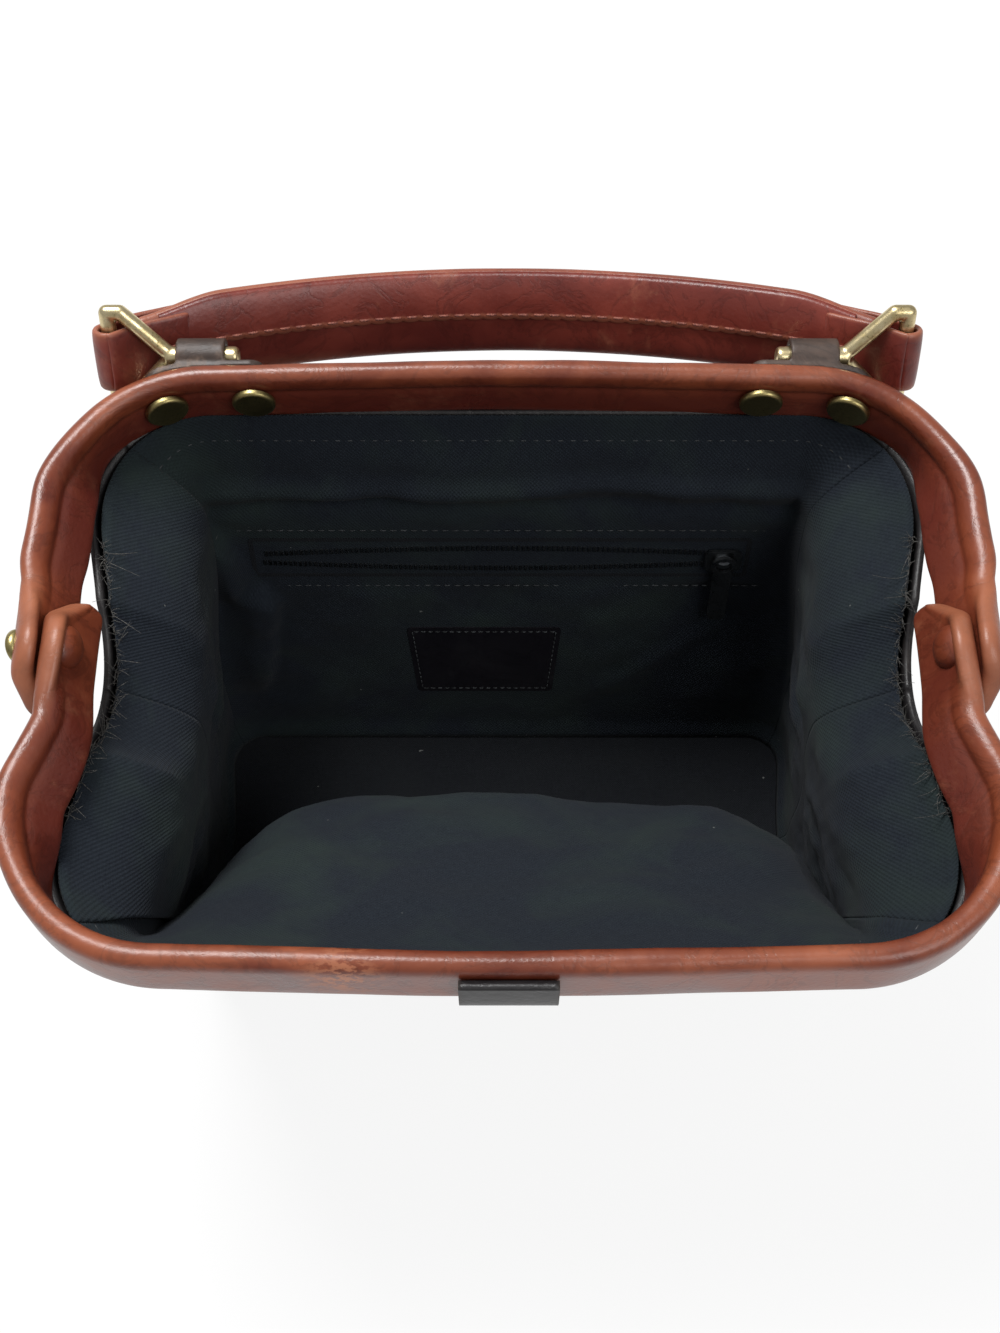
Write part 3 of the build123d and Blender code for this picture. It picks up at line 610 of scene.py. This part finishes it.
def rim(name, leg, swing, front, body, replaced, seed):
    """Leather over a frame: the section carried along the flat outer line, leaning in on the legs.

    A section point i inward and d down sits at line - outward * (i cos l + d sin l), down d cos l - i sin l.
    Above the hinge axis the ears curl inward instead, by CURL of their height. Leaning legs stand out by swing.
    """
    line, outward, ear, lean = rail_line(leg)
    top, low = leg_edges(line[:, 1])
    section = rim_section()
    n = top[:, None] + (low - top)[:, None] * section[:, 1] / BAND_DEPTH
    inward = section[:, 0] - section[:, 2] * (1 - ear)[:, None]
    thin = np.clip((top - low) / 7, 0.05, 1)[:, None]
    inward = BAND / 2 + (inward - BAND / 2) * thin ** 0.5
    swing = swing * smooth(line[:, 1], 9, 25) * lean / LEG_LEAN
    lean = lean[:, None]
    across = inward * np.cos(lean) - np.minimum(n, 0) * np.sin(lean) + CURL * np.maximum(n, 0) - swing[:, None]
    high = n * np.cos(lean) + inward * np.sin(lean) * (1 - ear[:, None]) * 0.6

    def place(across, high):
        return frame_world(line[:, :1] - outward[:, :1] * across, line[:, 1:] - outward[:, 1:] * across, high)

    rough = place(across, high)
    uneven = ripple(rough, 46, seed, 2) * 0.28 + ripple(rough, 13, seed + 1, 2) * 0.10
    grid = place(across + uneven * np.where(section[:, 0] > 3, 1, -1) * 0.8, high + uneven * 0.5)
    if front:
        grid = flip_front(grid)
    # painted shade on the rim's inner flange, a quarter of it on the ears
    flange_shade = section[:, 3] * (1 - 0.75 * ear[:, None])
    wear = section[:, 4] * (0.7 + 0.5 * ear[:, None])
    attributes = {"flange_shade": np.concatenate([flange_shade[:1], flange_shade, flange_shade[-1:]]),
                  "wear": np.concatenate([wear[:1], wear, wear[-1:]])}
    made = surface(name, cap_ends(grid), True, attributes, outward=True)
    refine(made)
    dress(made, TAN, body, replaced)


rim("back_rim_leather", BACK_LEG, SWING_BACK, False, "back_frame",
    ["back_frame_cover", "back_frame_steel"], 3)
rim("front_rim_leather", FRONT_LEG, SWING_FRONT, True, "front_frame",
    ["front_frame_cover", "front_frame_steel"], 8)


def dome(name, centre, axis, radius, height, material, body, replaced):
    """Domed cap with a short skirt: radius * sin(a)^0.9 round its axis and height * cos(a) along it."""
    axis = unit(np.array(axis, float))
    side = unit(np.cross(axis, [0.0, 1.0, 0.0]))
    other = np.cross(axis, side)
    a = np.linspace(0, np.pi / 2, 12)
    around = np.linspace(0, 2 * np.pi, 37)[:-1]
    out = np.concatenate([radius * np.sin(a) ** 0.9, [radius, 0]])
    up = np.concatenate([height * np.cos(a), [-2.2, -2.2]])
    ring = np.cos(around)[:, None] * side + np.sin(around)[:, None] * other
    grid = np.array(centre) + out[:, None, None] * ring + up[:, None, None] * axis
    rub = np.concatenate([np.cos(a) * 0.5, [0, 0]])[:, None] * np.ones(len(around))
    made = surface(name, grid, True, {"wear": rub, "flange_shade": 0 * rub}, outward=True)
    dress(made, material, body, replaced)


CAP_TILT = np.radians(17)
for side, sign in SIDES:
    dome("hinge_cap_" + side, (sign * 108.5, 0, 153.6), (-sign * np.cos(CAP_TILT), 0, np.sin(CAP_TILT)),
         5.6, 3.6, TAN, "back_frame", ["hinge_button_" + side])
    dome("hinge_stud_" + side, (sign * 120.2, 0, 153.6), (sign * np.cos(EAR_LEAN), 0, -np.sin(EAR_LEAN)),
         4.4, 1.0, CAP_BRASS, "back_frame", ["hinge_rivet_" + side])


# Front tab, curled back under the rail

def tab():
    """Strap along (t, n), 22.5 mm wide and rounded at its free end by a half ellipse."""
    path = curve_through([(84.2, -3.6), (84.6, -9.0), (84.5, -13.5), (83.1, -18.5), (80.0, -22.6),
                          (75.6, -25.4)], 40)
    share = run_length(path) / run_length(path)[-1]
    rounded = np.clip((share - 0.62) / 0.38, 0, 0.997)
    half = 11.25 * np.sqrt(1 - rounded ** 2)
    across = np.linspace(-1, 1, 24)
    x = half[:, None] * across
    grid = flip_front(frame_world(x, path[:, :1] + 0 * x, path[:, 1:] + 0 * x))
    wear = np.abs(across) ** 8 * np.ones((len(path), 1))
    made = surface("tab_strap", grid, attributes={"wear": wear, "flange_shade": 0 * wear})
    thicken(made, 2.2)
    dress(made, BLACK, "front_frame", ["front_tab"])


tab()


# Walls and lining

def wall_half(share, inset, front, count):
    """Half of the body's outline, from the middle of the right end to the middle of the front or back.

    Two straight runs, from (half - fold, 0) to the corner point (half, reach) and on to (0, reach), are
    joined by an arc of the corner's radius; the end's fold and the front's slump are rounded at their
    middles. Returns points (rows for shares of the height, columns along the outline) in x and y.
    """
    share = np.asarray(share, float)[:, None]
    half, reach, corner, fold = (low + (high - low) * share for low, high in zip(BASE_OUTLINE, RIM_OUTLINE))
    half, reach, corner = half - inset, reach - inset, np.maximum(corner - inset, 6)
    slump = 1.5 + FRONT_SLUMP * np.sin(np.pi * share) ** 2 if front else 0 * share
    one = count // 3
    a = np.linspace(0, 1, one)
    first_y = a * (reach - corner)
    first_x = half - fold * (1 - soft_abs(first_y / reach, 0.35))
    turn = np.linspace(0, np.pi / 2, count - 2 * one + 2)[1:-1]
    arc_x = half - corner + corner * np.cos(turn)
    arc_y = reach - corner + corner * np.sin(turn)
    arc_x = arc_x - fold * (1 - soft_abs(np.minimum(arc_y / reach, 1), 0.35))
    last_x = (half - corner) * (1 - a)
    last_y = reach + 0 * last_x
    x = np.concatenate([first_x, arc_x, last_x], 1)
    y = np.concatenate([first_y, arc_y, last_y], 1)
    y = y - slump * (1 - soft_abs(x / half, 0.35)) * smooth(y / reach, 0.2, 1.0)
    return x, y


def rim_height(y):
    """Height of the frames' lower edges, with the round scoop under each hinge."""
    reach = np.abs(y)
    edge = HINGE_Z - 18.0 + reach * np.sin(TILT)
    scoop = HINGE_Z - np.sqrt(np.maximum(SCOOP ** 2 - reach ** 2, 0))
    return np.where(reach < SCOOP, np.minimum(edge, scoop), edge)


def wall_sheet(inset, front, part, rows, cols, low=BASE_TOP_Z):
    """Grid of a wall layer: rows go up from low and columns go round. part is 'wall' or 'end'."""
    share = np.linspace(0, 1, rows)
    x, y = wall_half(share, inset, front, cols)
    seam = cols // 3 + (cols - 2 * (cols // 3)) // 2
    side = slice(seam, None) if part == "wall" else slice(0, seam + 1)
    x, y = x[:, side], y[:, side]
    top = rim_height(y[-1])
    z = low + (top - low)[None] * share[:, None]
    return np.stack([x, -y if front else y, z + 0 * x], -1)


def lining_sheet(front, part, rows, cols):
    """The plain lining, set in from the skin but sewn to it at its top; its foot laps over the floor's edge."""
    share = np.linspace(0, 1, rows)[:, None]
    inset = LINING_INSET + (LINING_TOP_INSET - LINING_INSET) * smooth(share, 0.88, 1.0)
    inset = inset + 2.4 * (1 - smooth(share, 0.0, 0.05))
    return wall_sheet(inset, front, part, rows, cols, FLOOR_TOP_Z)


def both_sides(grid):
    """A wall's grid from its right seam to its left one, by mirroring its right half."""
    left = grid[:, ::-1] * np.array([-1.0, 1.0, 1.0])
    return np.concatenate([grid, left[:, 1:]], 1)


def follow(made):
    """Bakes the piece's transform into its mesh."""
    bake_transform(made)


def hung(made, material, replaces, thick):
    """A wall sheet: material, thickness, and its transform baked in."""
    dress(made, material, None, replaces)
    thicken(made, thick)
    follow(made)


def hang_lining(name, grid, planar, replaces):
    """A piece of the lining, made as a thin sheet of cloth."""
    made = surface(name, grid, planar=planar)
    hung(made, LINING, replaces, 0.6)


def draw_in(grid):
    """Loose lining: below the rim its ends are drawn in to an upright fold, which stands further out low down.

    What lies past the fold keeps 0.16 of its distance to it, and at most 1.2 mm more.
    """
    x, y, z = grid[..., 0], grid[..., 1], grid[..., 2]
    share = smooth(rim_height(y) - z, -3, 24) ** 0.8 * smooth(z, 2, 30)
    fold = np.where(x < 0, 84.5, 81.0) + 5 * smooth(-y, 20, 60) + 9.5 * (1 - smooth(z, 35, 108))
    past = np.maximum(np.abs(x) - fold, 0)
    kept = past * 0.16 + 1.2 * (1 - np.exp(-past / 2.4))
    drawn = np.minimum(np.abs(x), fold) + np.minimum(kept, past)
    out = grid.copy()
    out[..., 0] = np.sign(x) * (np.abs(x) * (1 - share) + drawn * share)
    return out


# z and x of the pleat's free edge
PLEAT = ([30, 40, 72, 108, 116], [-78, -75, -70, -87, -95])


def lining_back():
    """Back lining: a crease band under the rim, a loose pleat near its left seam and slack cloth between.

    The pleat's free edge runs down in x and z through PLEAT, and the cloth left of it stands off. The cloth
    lies quiet round the zip and the patch, and at the seams, where free falls to 0.
    """
    plain = both_sides(lining_sheet(False, "wall", 90, 150))
    free = 1 - np.abs(np.linspace(-1, 1, plain.shape[1])) ** 8
    grid = draw_in(plain)
    x, z = grid[..., 0], grid[..., 2]
    band = 2.6 * np.exp(-((z - 118 - 1.4 * np.sin(x / 31)) / 3.0) ** 2) - 1.7 * np.exp(-((z - 111) / 2.6) ** 2)
    slack = ripple(grid, 56, 21, 4) * 2.3 * smooth(z, 6, 30) * (1 - smooth(z, 118, 134))
    level = smooth(np.abs(z - ZIP_AT[2]), 9, 16)
    patch = smooth(np.maximum(np.abs(x - PATCH_X) - 24, np.abs(z - 42) - 18), 0, 10)
    off_zip = np.maximum(level, smooth(np.abs(x - ZIP_AT[0]) - 74, 0, 8))
    edge = np.interp(z, *PLEAT)
    pleat = 6.0 * smooth(edge - x, -0.8, 1.4) * (1 - smooth(edge - x, 5, 20)) * smooth(z, 26, 44)
    pleat *= 1 - smooth(z, 102, 114)
    fold_off = (x - 38) * 0.62 - (z - 36) * 0.78
    diagonal = np.exp(-(fold_off / 3.0) ** 2) * np.exp(-((x - 44) / 24) ** 2) * 1.6
    loose = (band + slack + diagonal * patch) * np.minimum(off_zip, patch) + pleat * off_zip
    grid[..., 1] -= loose * free + 0.35
    return grid


def lining_front():
    """Front lining: from the rim it falls inward to a crest, then tucks back under to the floor.

    The middle profile is a Catmull-Rom curve through points in (y, z); its share of the plain wall grows
    from the seams to the crest's broad middle.
    """
    rows = 80
    plain = both_sides(lining_sheet(True, "wall", rows, 120))
    profile = curve_through([(-38, 5.6), (-24, 18), (-12, 38), (-7, 58), (-9, 70), (-20, 82), (-36, 97),
                             (-54, 114), (-66, 127), (-74.5, 138.5)], rows)
    u = np.linspace(-1, 1, plain.shape[1])
    share = 1 - smooth(np.abs(u + 0.03), 0.38, 0.97)
    hill = plain.copy()
    hill[..., 1:] = profile[:, None]
    base = draw_in(plain)
    grid = base + (hill - base) * share[:, None]
    grid[-1] = plain[-1]
    arch = np.sin(np.pi * np.linspace(0, 1, rows))[:, None]
    free = 1 - np.abs(u) ** 6
    folds = ripple(grid * np.array([0.8, 1.3, 1.3]), 70, 31, 3) * 3.0 * np.abs(arch) ** 0.8 * free
    fine = ripple(grid * np.array([0.6, 1.0, 1.0]), 24, 37, 3) * 1.2 * arch * free
    grid[..., 1] += folds * 0.8 + fine
    grid[..., 2] += folds * 0.6
    return grid


def lining_end(front):
    """Half of the right end lining, drawn in below the scoop and creased.

    It swells inward by sin(pi h^1.1)^0.9 of 1.5 mm and creases by up to 3.4 mm, for h the share of the height.
    """
    plain = lining_sheet(front, "end", 64, 120)
    grid = draw_in(plain)
    y, z = grid[..., 1], grid[..., 2]
    v = np.linspace(0, 1, grid.shape[1])
    height = np.clip((z - 5) / 128, 0, 1)
    swell = np.sin(np.pi * height ** 1.1) ** 0.9 * (1 - v ** 3)
    grid[..., 0] -= 1.5 * swell
    stretch = grid * np.array([1.0, 1.0, 1.6]) + np.array([0, 0, 0.5]) * y[..., None]
    creases = ripple(stretch, 46, 41 if front else 43, 4)
    hold = np.sin(np.pi * height) ** 0.7 * (1 - v ** 6) * smooth(v, 0.0, 0.3)
    grid[..., 0] -= creases * 3.4 * hold
    return grid


def slack_skin(grid, seed):
    """The outer skin with shallow swells, which fall to 0 at its seams, base and rim."""
    height = np.linspace(0, 1, len(grid))[:, None]
    u = np.abs(np.linspace(-1, 1, grid.shape[1]))
    out = np.sign(grid[..., 1]) * np.sin(np.pi * height) ** 0.6 * (1 - u ** 6)
    moved = grid.copy()
    moved[..., 1] += out * (ripple(grid, 95, seed, 3) * 1.3 + 0.6)
    return moved


linings, skins, end_linings = {}, {}, []
for front, word in HALVES:
    linings[word] = lining_front() if front else lining_back()
    hang_lining("lining_cloth_" + word, linings[word], False, ["lining_" + word])
    skins[word] = slack_skin(both_sides(wall_sheet(SKIN_INSET, front, "wall", 60, 110)), 70 + front)
    hung(surface(word + "_skin", skins[word]), BLACK, [word + "_panel"], 1.8)

for side, sign in SIDES:
    turn = np.array([sign, 1.0, 1.0])
    for front, word in HALVES:
        grid = lining_end(front) * turn
        end_linings.append((side, front, grid))
        hang_lining(f"lining_cloth_{side}_{word}", grid, True, ["lining_" + side])
        skin = wall_sheet(SKIN_INSET, front, "end", 34, 84) * turn
        made = surface(f"{side}_gusset_skin_{word}", skin)
        hung(made, BLACK, [side + "_gusset"], 1.8)


# Stitches and frayed threads

def grid_normals(grid, inside):
    """Unit normals of a grid of points, turned towards a point inside the bag."""
    normal = unit(np.cross(np.gradient(grid, axis=0), np.gradient(grid, axis=1)))
    flip = np.sign(((np.array(inside) - grid) * normal).sum(-1, keepdims=True))
    return normal * flip


def rim_stitches(word, drop):
    """A row of lining stitches at a drop in millimetres below the sheet's top."""
    grid = linings[word]
    height = np.linalg.norm(np.diff(grid, axis=0), axis=-1).sum(0).mean()
    row = int((1 - drop / height) * (len(grid) - 1))
    normal = grid_normals(grid, (0, 0, 110))[row]
    spots, share = every(grid[row], 3.4)
    index = (share * (grid.shape[1] - 1)).astype(int)
    points, faces = stitch_row(spots + normal[index] * 0.1, normal[index], 2.5, 0.24)
    made = make_mesh("rim_stitches_" + word, points, faces, outward=True)
    dress(made, DARK_THREAD)
    follow(made)


rim_stitches("back", 7.5)
rim_stitches("front", 6.0)


def seam_stitches(word):
    """Rows of stitches down both corner seams of an outer skin, a few columns in from its edge."""
    grid = skins[word]
    away = -grid_normals(grid, (0, 0, 70))
    rows = []
    for column in (3, -4):
        spots, share = every(grid[2:-3, column], 3.6)
        index = (2 + share * (len(grid) - 6)).astype(int)
        normal = away[index, column]
        rows.append(stitch_row(spots + normal * 0.95, normal, 2.7, 0.32))
    made = make_mesh("seam_stitches_" + word, *joined(rows), outward=True)
    dress(made, DARK_THREAD)
    follow(made)


for front, word in HALVES:
    seam_stitches(word)


def zip_stitches():
    """Straight rows above and below the zip and round the patch, which narrows from 45.2 to 40.8 mm.

    The zip's rows stand 0.55 mm off the lining's middle and the patch's 1.15 mm.
    """
    x = np.linspace(-78, 79, 200)
    rows = [(x, 0 * x + up, 0.55, 3.0, 2.2) for up in (11.8, -12.4)]
    middle, top, low = PATCH_X - ZIP_AT[0], -33.8, -62.7
    half_top, half_low = 22.6, 20.4
    corners = [(-half_top, top), (half_top, top), (half_low, low), (-half_low, low), (-half_top, top)]
    t = np.linspace(0, 1, 40)
    rows += [(middle + ax + (bx - ax) * t, ay + (by - ay) * t, 1.15, 2.2, 1.6)
             for (ax, ay), (bx, by) in zip(corners[:-1], corners[1:])]
    stitches = []
    for along, up, out, pitch, length in rows:
        spots, _ = every(zip_world(along, up, 0 * along + out), pitch)
        stitches.append(stitch_row(spots, np.tile(ZIP_OUT, (len(spots), 1)), length, 0.22))
    made = make_mesh("pocket_stitches", *joined(stitches), outward=True)
    dress(made, DARK_THREAD, "bag")


zip_stitches()


def frays(name, grid, count, seed):
    """Loose threads on a lining's cut top: thin tubes that leave the edge and curl.

    A thread's middle line is root + length * (s * way + 0.7 * s^2 * curl), for s from 0 to 1.
    """
    steps, sides = 6, 3
    rng = np.random.default_rng(seed)
    edge = grid[-1]
    near = np.where(np.abs(edge[:, 1]) < 40)[0]
    pick = rng.choice(near[:-1], count)
    root = edge[pick] + (edge[pick + 1] - edge[pick]) * rng.uniform(0, 1, (count, 1))
    inside = np.stack([-np.sign(root[:, 0]), 0 * root[:, 0], 0 * root[:, 0]], -1)
    way = inside * rng.uniform(-0.5, 1.0, (count, 1))
    way = way + np.array([0, 0, 1.0]) * rng.uniform(0.2, 0.9, (count, 1))
    way = unit(way + rng.normal(0, 0.55, (count, 3)) * np.array([0.4, 1, 0.4]))
    curl = rng.normal(0, 0.6, (count, 3)) - np.array([0, 0, 0.35])
    length = rng.gamma(2.4, 0.95, count)[:, None, None]
    s = np.linspace(0, 1, steps)[None, :, None]
    path = root[:, None] + way[:, None] * length * s + curl[:, None] * length * 0.7 * s ** 2
    ahead = unit(np.gradient(path, axis=1))
    one = unit(np.cross(ahead, [0.3, 0.2, 1.0]))
    two = np.cross(ahead, one)
    turn = np.linspace(0, 2 * np.pi, sides + 1)[:-1, None]
    ring = np.cos(turn) * one[:, :, None] + np.sin(turn) * two[:, :, None]
    tubes = path[:, :, None] + 0.12 * (1 - 0.6 * s[..., None]) * ring
    quads, _ = grid_faces(steps, sides, True)
    faces = np.concatenate([quads + k * steps * sides for k in range(count)])
    made = make_mesh(name, tubes.reshape(-1, 3), faces, weld=False)
    dress(made, FRAY)
    follow(made)


for k, (side, front, grid) in enumerate(end_linings):
    frays(f"frays_{side}_{'front' if front else 'back'}", grid, 150, 60 + k)


# Handle

def handle_line(count):
    """Arched centre line in (x, q): the arc through its ends at q = 6 and its crown, RISE higher."""
    radius = (HALF_STRAP ** 2 + RISE ** 2) / (2 * RISE)
    half = np.arcsin(HALF_STRAP / radius)
    a = np.linspace(half, -half, count)
    return np.stack([radius * np.sin(a), 6 + RISE - radius + radius * np.cos(a)], -1)


def strap_section(line):
    """Half width and half thickness along the strap, which narrows near the rings."""
    near = smooth(np.abs(line[:, 0]), 78, 101)[:, None]
    return STRAP_HALF_WIDTH - 3.9 * near, STRAP_HALF_THICK - 0.6 * near


def handle_strap():
    """Folded strap: the section (thick sin(b)^0.75, wide cos(b)^0.9), squarer than an ellipse."""
    line = handle_line(120)
    out = left_of(line)
    out *= np.sign(out[:, 1:] + 1e-9)
    b = np.linspace(0, 2 * np.pi, 41)[:-1]
    wide, thick = strap_section(line)
    up = np.sign(np.sin(b)) * np.abs(np.sin(b)) ** 0.75 * thick
    m = np.sign(np.cos(b)) * np.abs(np.cos(b)) ** 0.9 * wide
    bumps = ripple(off_strap(line, out, up, m), 34, 51, 3) * 0.25
    grid = cap_ends(off_strap(line, out, up + bumps * np.sign(up), m))
    wear = np.abs(np.cos(b)) ** 3 * 0.9 + 0.4 * smooth(-grid[..., 0], 10, 80)
    made = surface("handle_strap", grid, True, {"wear": wear, "flange_shade": 0 * wear}, outward=True)
    refine(made)
    dress(made, OXBLOOD, "handle", ["handle_leather", "handle_core"])


def handle_flap():
    """Upper flap of the fold, a thin sheet on the strap's inner face, and the stitches along its free edge.

    The free edge is scalloped between the stitches: m = -0.6 - 0.55 |sin(pi * length / pitch)|^0.6.
    """
    pitch = 4.6
    line = handle_line(700)[20:-20]
    out = left_of(line)
    out *= -np.sign(out[:, 1:] + 1e-9)
    along = run_length(np.concatenate([line, 0 * line[:, :1]], 1))
    free = (-0.6 - 0.55 * np.abs(np.sin(np.pi * along / pitch)) ** 0.6)[:, None]
    wide, thick = strap_section(line)
    v = np.linspace(0, 1, 12)
    m = free + (wide * 0.97 - free) * v
    lift = thick * (1 - np.clip(np.abs(m) / wide, 0, 1) ** 2.2) ** 0.42 + 0.55
    lift = np.where(v < 0.05, lift + 0.1, lift)
    wear = np.where(v < 0.12, 1.0, 0.2) * np.ones((len(line), 1))
    made = surface("handle_flap", off_strap(line, out, lift, m), attributes={"wear": wear, "flange_shade": 0 * wear})
    thicken(made, 0.9)
    dress(made, OXBLOOD, "handle")

    seat = off_strap(line, out, 4.35, free + 1.5)[:, 0]
    outward = (off_strap(line, out, 1.0, 0) - off_strap(line, out, 0.0, 0))[:, 0]
    spots, share = every(seat, pitch)
    index = (share * (len(seat) - 1)).astype(int)
    made = make_mesh("handle_stitches", *stitch_row(spots, unit(outward[index]), 3.2, 0.42), outward=True)
    dress(made, RED_THREAD, "handle")


handle_strap()
handle_flap()


def handle_end(side, sign):
    """Strap end folded round a ring's bar: a flat section carried along a U in (x, q), 17 mm wide.

    The U follows both faces of the strap's end and most of a circle of radius 3.5 about the bar.
    """
    slope = np.array([0.869, -0.495])
    up = np.array([0.495, 0.869])
    end = np.array([HALF_STRAP, 6.0])
    bar = np.array([106.0, 0.0])
    turn = np.radians(np.linspace(70, -110, 15))
    wrap = bar + 3.5 * np.stack([np.cos(turn), np.sin(turn)], -1)
    upper = [end - slope * 14 + up * 3.1, end - slope * 7 + up * 3.2, end + up * 3.3]
    lower = [end - up * 3.4, end - slope * 7 - up * 3.3, end - slope * 14 - up * 3.2]
    path = curve_through(np.concatenate([upper, wrap, lower]), 60)
    out = left_of(path)
    if out[30] @ (path[30] - bar) < 0:
        out = -out
    across = np.linspace(-1, 1, 14)
    length = run_length(path)
    share = (length / length[-1])[:, None]
    m = (8.8 - 0.5 * np.sin(np.pi * share)) * across
    mirror = np.array([sign, 1.0])
    grid = off_strap(path * mirror, out * mirror, 0.35 * (1 - across ** 4), m)
    wear = np.abs(across) ** 6 + 0.5 * np.exp(-((share - 0.5) / 0.12) ** 2)
    made = surface("handle_end_" + side, grid, attributes={"wear": wear, "flange_shade": 0 * wear})
    thicken(made, 1.6)
    refine(made)
    dress(made, OXBLOOD, "handle", ["handle_loop_" + side])


for side, sign in SIDES:
    handle_end(side, sign)


# Hardware that keeps the parts' shapes, smoothed as castings

def cast_copy(name, node, voxel, material, body, rounds):
    """A smoothed casting made from a part: its mesh merged, remeshed in small cells and relaxed."""
    mesh = frame["nodes"][node].data.copy()
    mesh.name = name
    bm = bmesh.new()
    bm.from_mesh(mesh)
    bmesh.ops.remove_doubles(bm, verts=bm.verts, dist=1e-6)
    bm.to_mesh(mesh)
    bm.free()
    made = bpy.data.objects.new(name, mesh)
    bpy.context.scene.collection.objects.link(made)
    modify(made, "REMESH", mode="VOXEL", voxel_size=voxel * MM, use_smooth_shade=True)
    modify(made, "SMOOTH", factor=0.5, iterations=rounds)
    dg = bpy.context.evaluated_depsgraph_get()
    made.data = bpy.data.meshes.new_from_object(made.evaluated_get(dg))
    made.modifiers.clear()
    dress(made, material, body, [node])


for side, _ in SIDES:
    cast_copy("cast_ring_" + side, "ring_" + side, 0.4, BRASS, "handle", 7)
    cast_copy("chape_strip_" + side, "chape_" + side, 0.45, CHAPE_LEATHER, "back_frame", 4)

NODE_MATERIALS = {
    "tan_leather": TAN, "oxblood_leather": OXBLOOD, "black_leather": BLACK, "lining_fabric": TAPE,
    "brass": CAP_BRASS, "dark_metal": DARK_METAL, "frame_steel": STEEL, "board": BOARD, "filler": FILLER,
}
for row in frame["record"]["subparts"]:
    mesh = frame["nodes"][row["node"]].data
    material = PATCH_LEATHER if row["node"] == "label_patch" else NODE_MATERIALS[row["material_slot"]]
    for index in range(len(mesh.materials)):
        mesh.materials[index] = material
    if not mesh.materials:
        mesh.materials.append(material)


# Floor, light and camera

floor_mesh = bpy.data.meshes.new("floor")
floor_mesh.from_pydata([(-3, -3, 0), (3, -3, 0), (3, 3, 0), (-3, 3, 0)], [], [(0, 1, 2, 3)])
floor = bpy.data.objects.new("floor", floor_mesh)
bpy.context.scene.collection.objects.link(floor)

pale = bpy.data.materials.new("pale_floor")
pale.use_nodes = True
tree = pale.node_tree
tree.nodes.clear()
path = tree.nodes.new("ShaderNodeLightPath")
seen = maths(tree, "MAXIMUM", path.outputs["Is Camera Ray"],
             maths(tree, "MAXIMUM", path.outputs["Is Glossy Ray"], path.outputs["Is Transmission Ray"]))
white = put(tree, "ShaderNodeEmission", {"Color": (1, 1, 1, 1), "Strength": 1.0})
diffuse = put(tree, "ShaderNodeBsdfDiffuse", {"Color": (0.9, 0.9, 0.9, 1)})
share = maths(tree, "MULTIPLY", seen, 0.86)
both = put(tree, "ShaderNodeMixShader", {0: share, 1: diffuse.outputs[0], 2: white.outputs[0]})
tree.links.new(both.outputs[0], tree.nodes.new("ShaderNodeOutputMaterial").inputs[0])
floor_mesh.materials.append(pale)

world = bpy.data.worlds.new("studio")
bpy.context.scene.world = world
world.use_nodes = True
tree = world.node_tree
path = tree.nodes.new("ShaderNodeLightPath")
seen = maths(tree, "MAXIMUM", path.outputs["Is Camera Ray"], path.outputs["Is Transmission Ray"])
backdrop = tree.nodes["Background"]
backdrop.inputs["Color"].default_value = (1, 1, 1, 1)
tree.links.new(remap(tree, seen, 0, 1, 0.38, 1.0), backdrop.inputs["Strength"])


def soft_lamp(name, place, aim, size, watts):
    """A square area lamp turned towards a point."""
    lamp = bpy.data.lights.new(name, "AREA")
    lamp.size, lamp.energy = size, watts
    made = bpy.data.objects.new(name, lamp)
    made.location = place
    made.rotation_euler = (Vector(aim) - Vector(place)).to_track_quat("-Z", "Y").to_euler()
    bpy.context.scene.collection.objects.link(made)


BAG_MIDDLE = (0, 0, 0.12)
soft_lamp("key", (-0.35, 0.45, 1.2), BAG_MIDDLE, 0.45, 17.0)
soft_lamp("fill", (0.65, -0.55, 1.1), BAG_MIDDLE, 0.7, 6.0)

# The camera's focal length and the photograph's height are in the photograph's pixels
FOCAL_PIXELS, HIGH_PIXELS, SENSOR = 1562.0, 1333.0, 36.0
camera_data = bpy.data.cameras.new("camera")
camera_data.sensor_width = SENSOR
camera_data.lens = FOCAL_PIXELS / HIGH_PIXELS * SENSOR
camera_data.clip_start, camera_data.clip_end = 0.01, 20.0
camera = bpy.data.objects.new("camera", camera_data)
bpy.context.scene.collection.objects.link(camera)
elevation = np.radians(65.0)
target = Vector((-0.002, -0.0056, 0.1543))
camera.location = target + Vector((0, -np.cos(elevation), np.sin(elevation))) * 0.380
camera.rotation_euler = (target - camera.location).to_track_quat("-Z", "Y").to_euler()
bpy.context.scene.camera = camera
bpy.context.scene.view_settings.view_transform = "Standard"
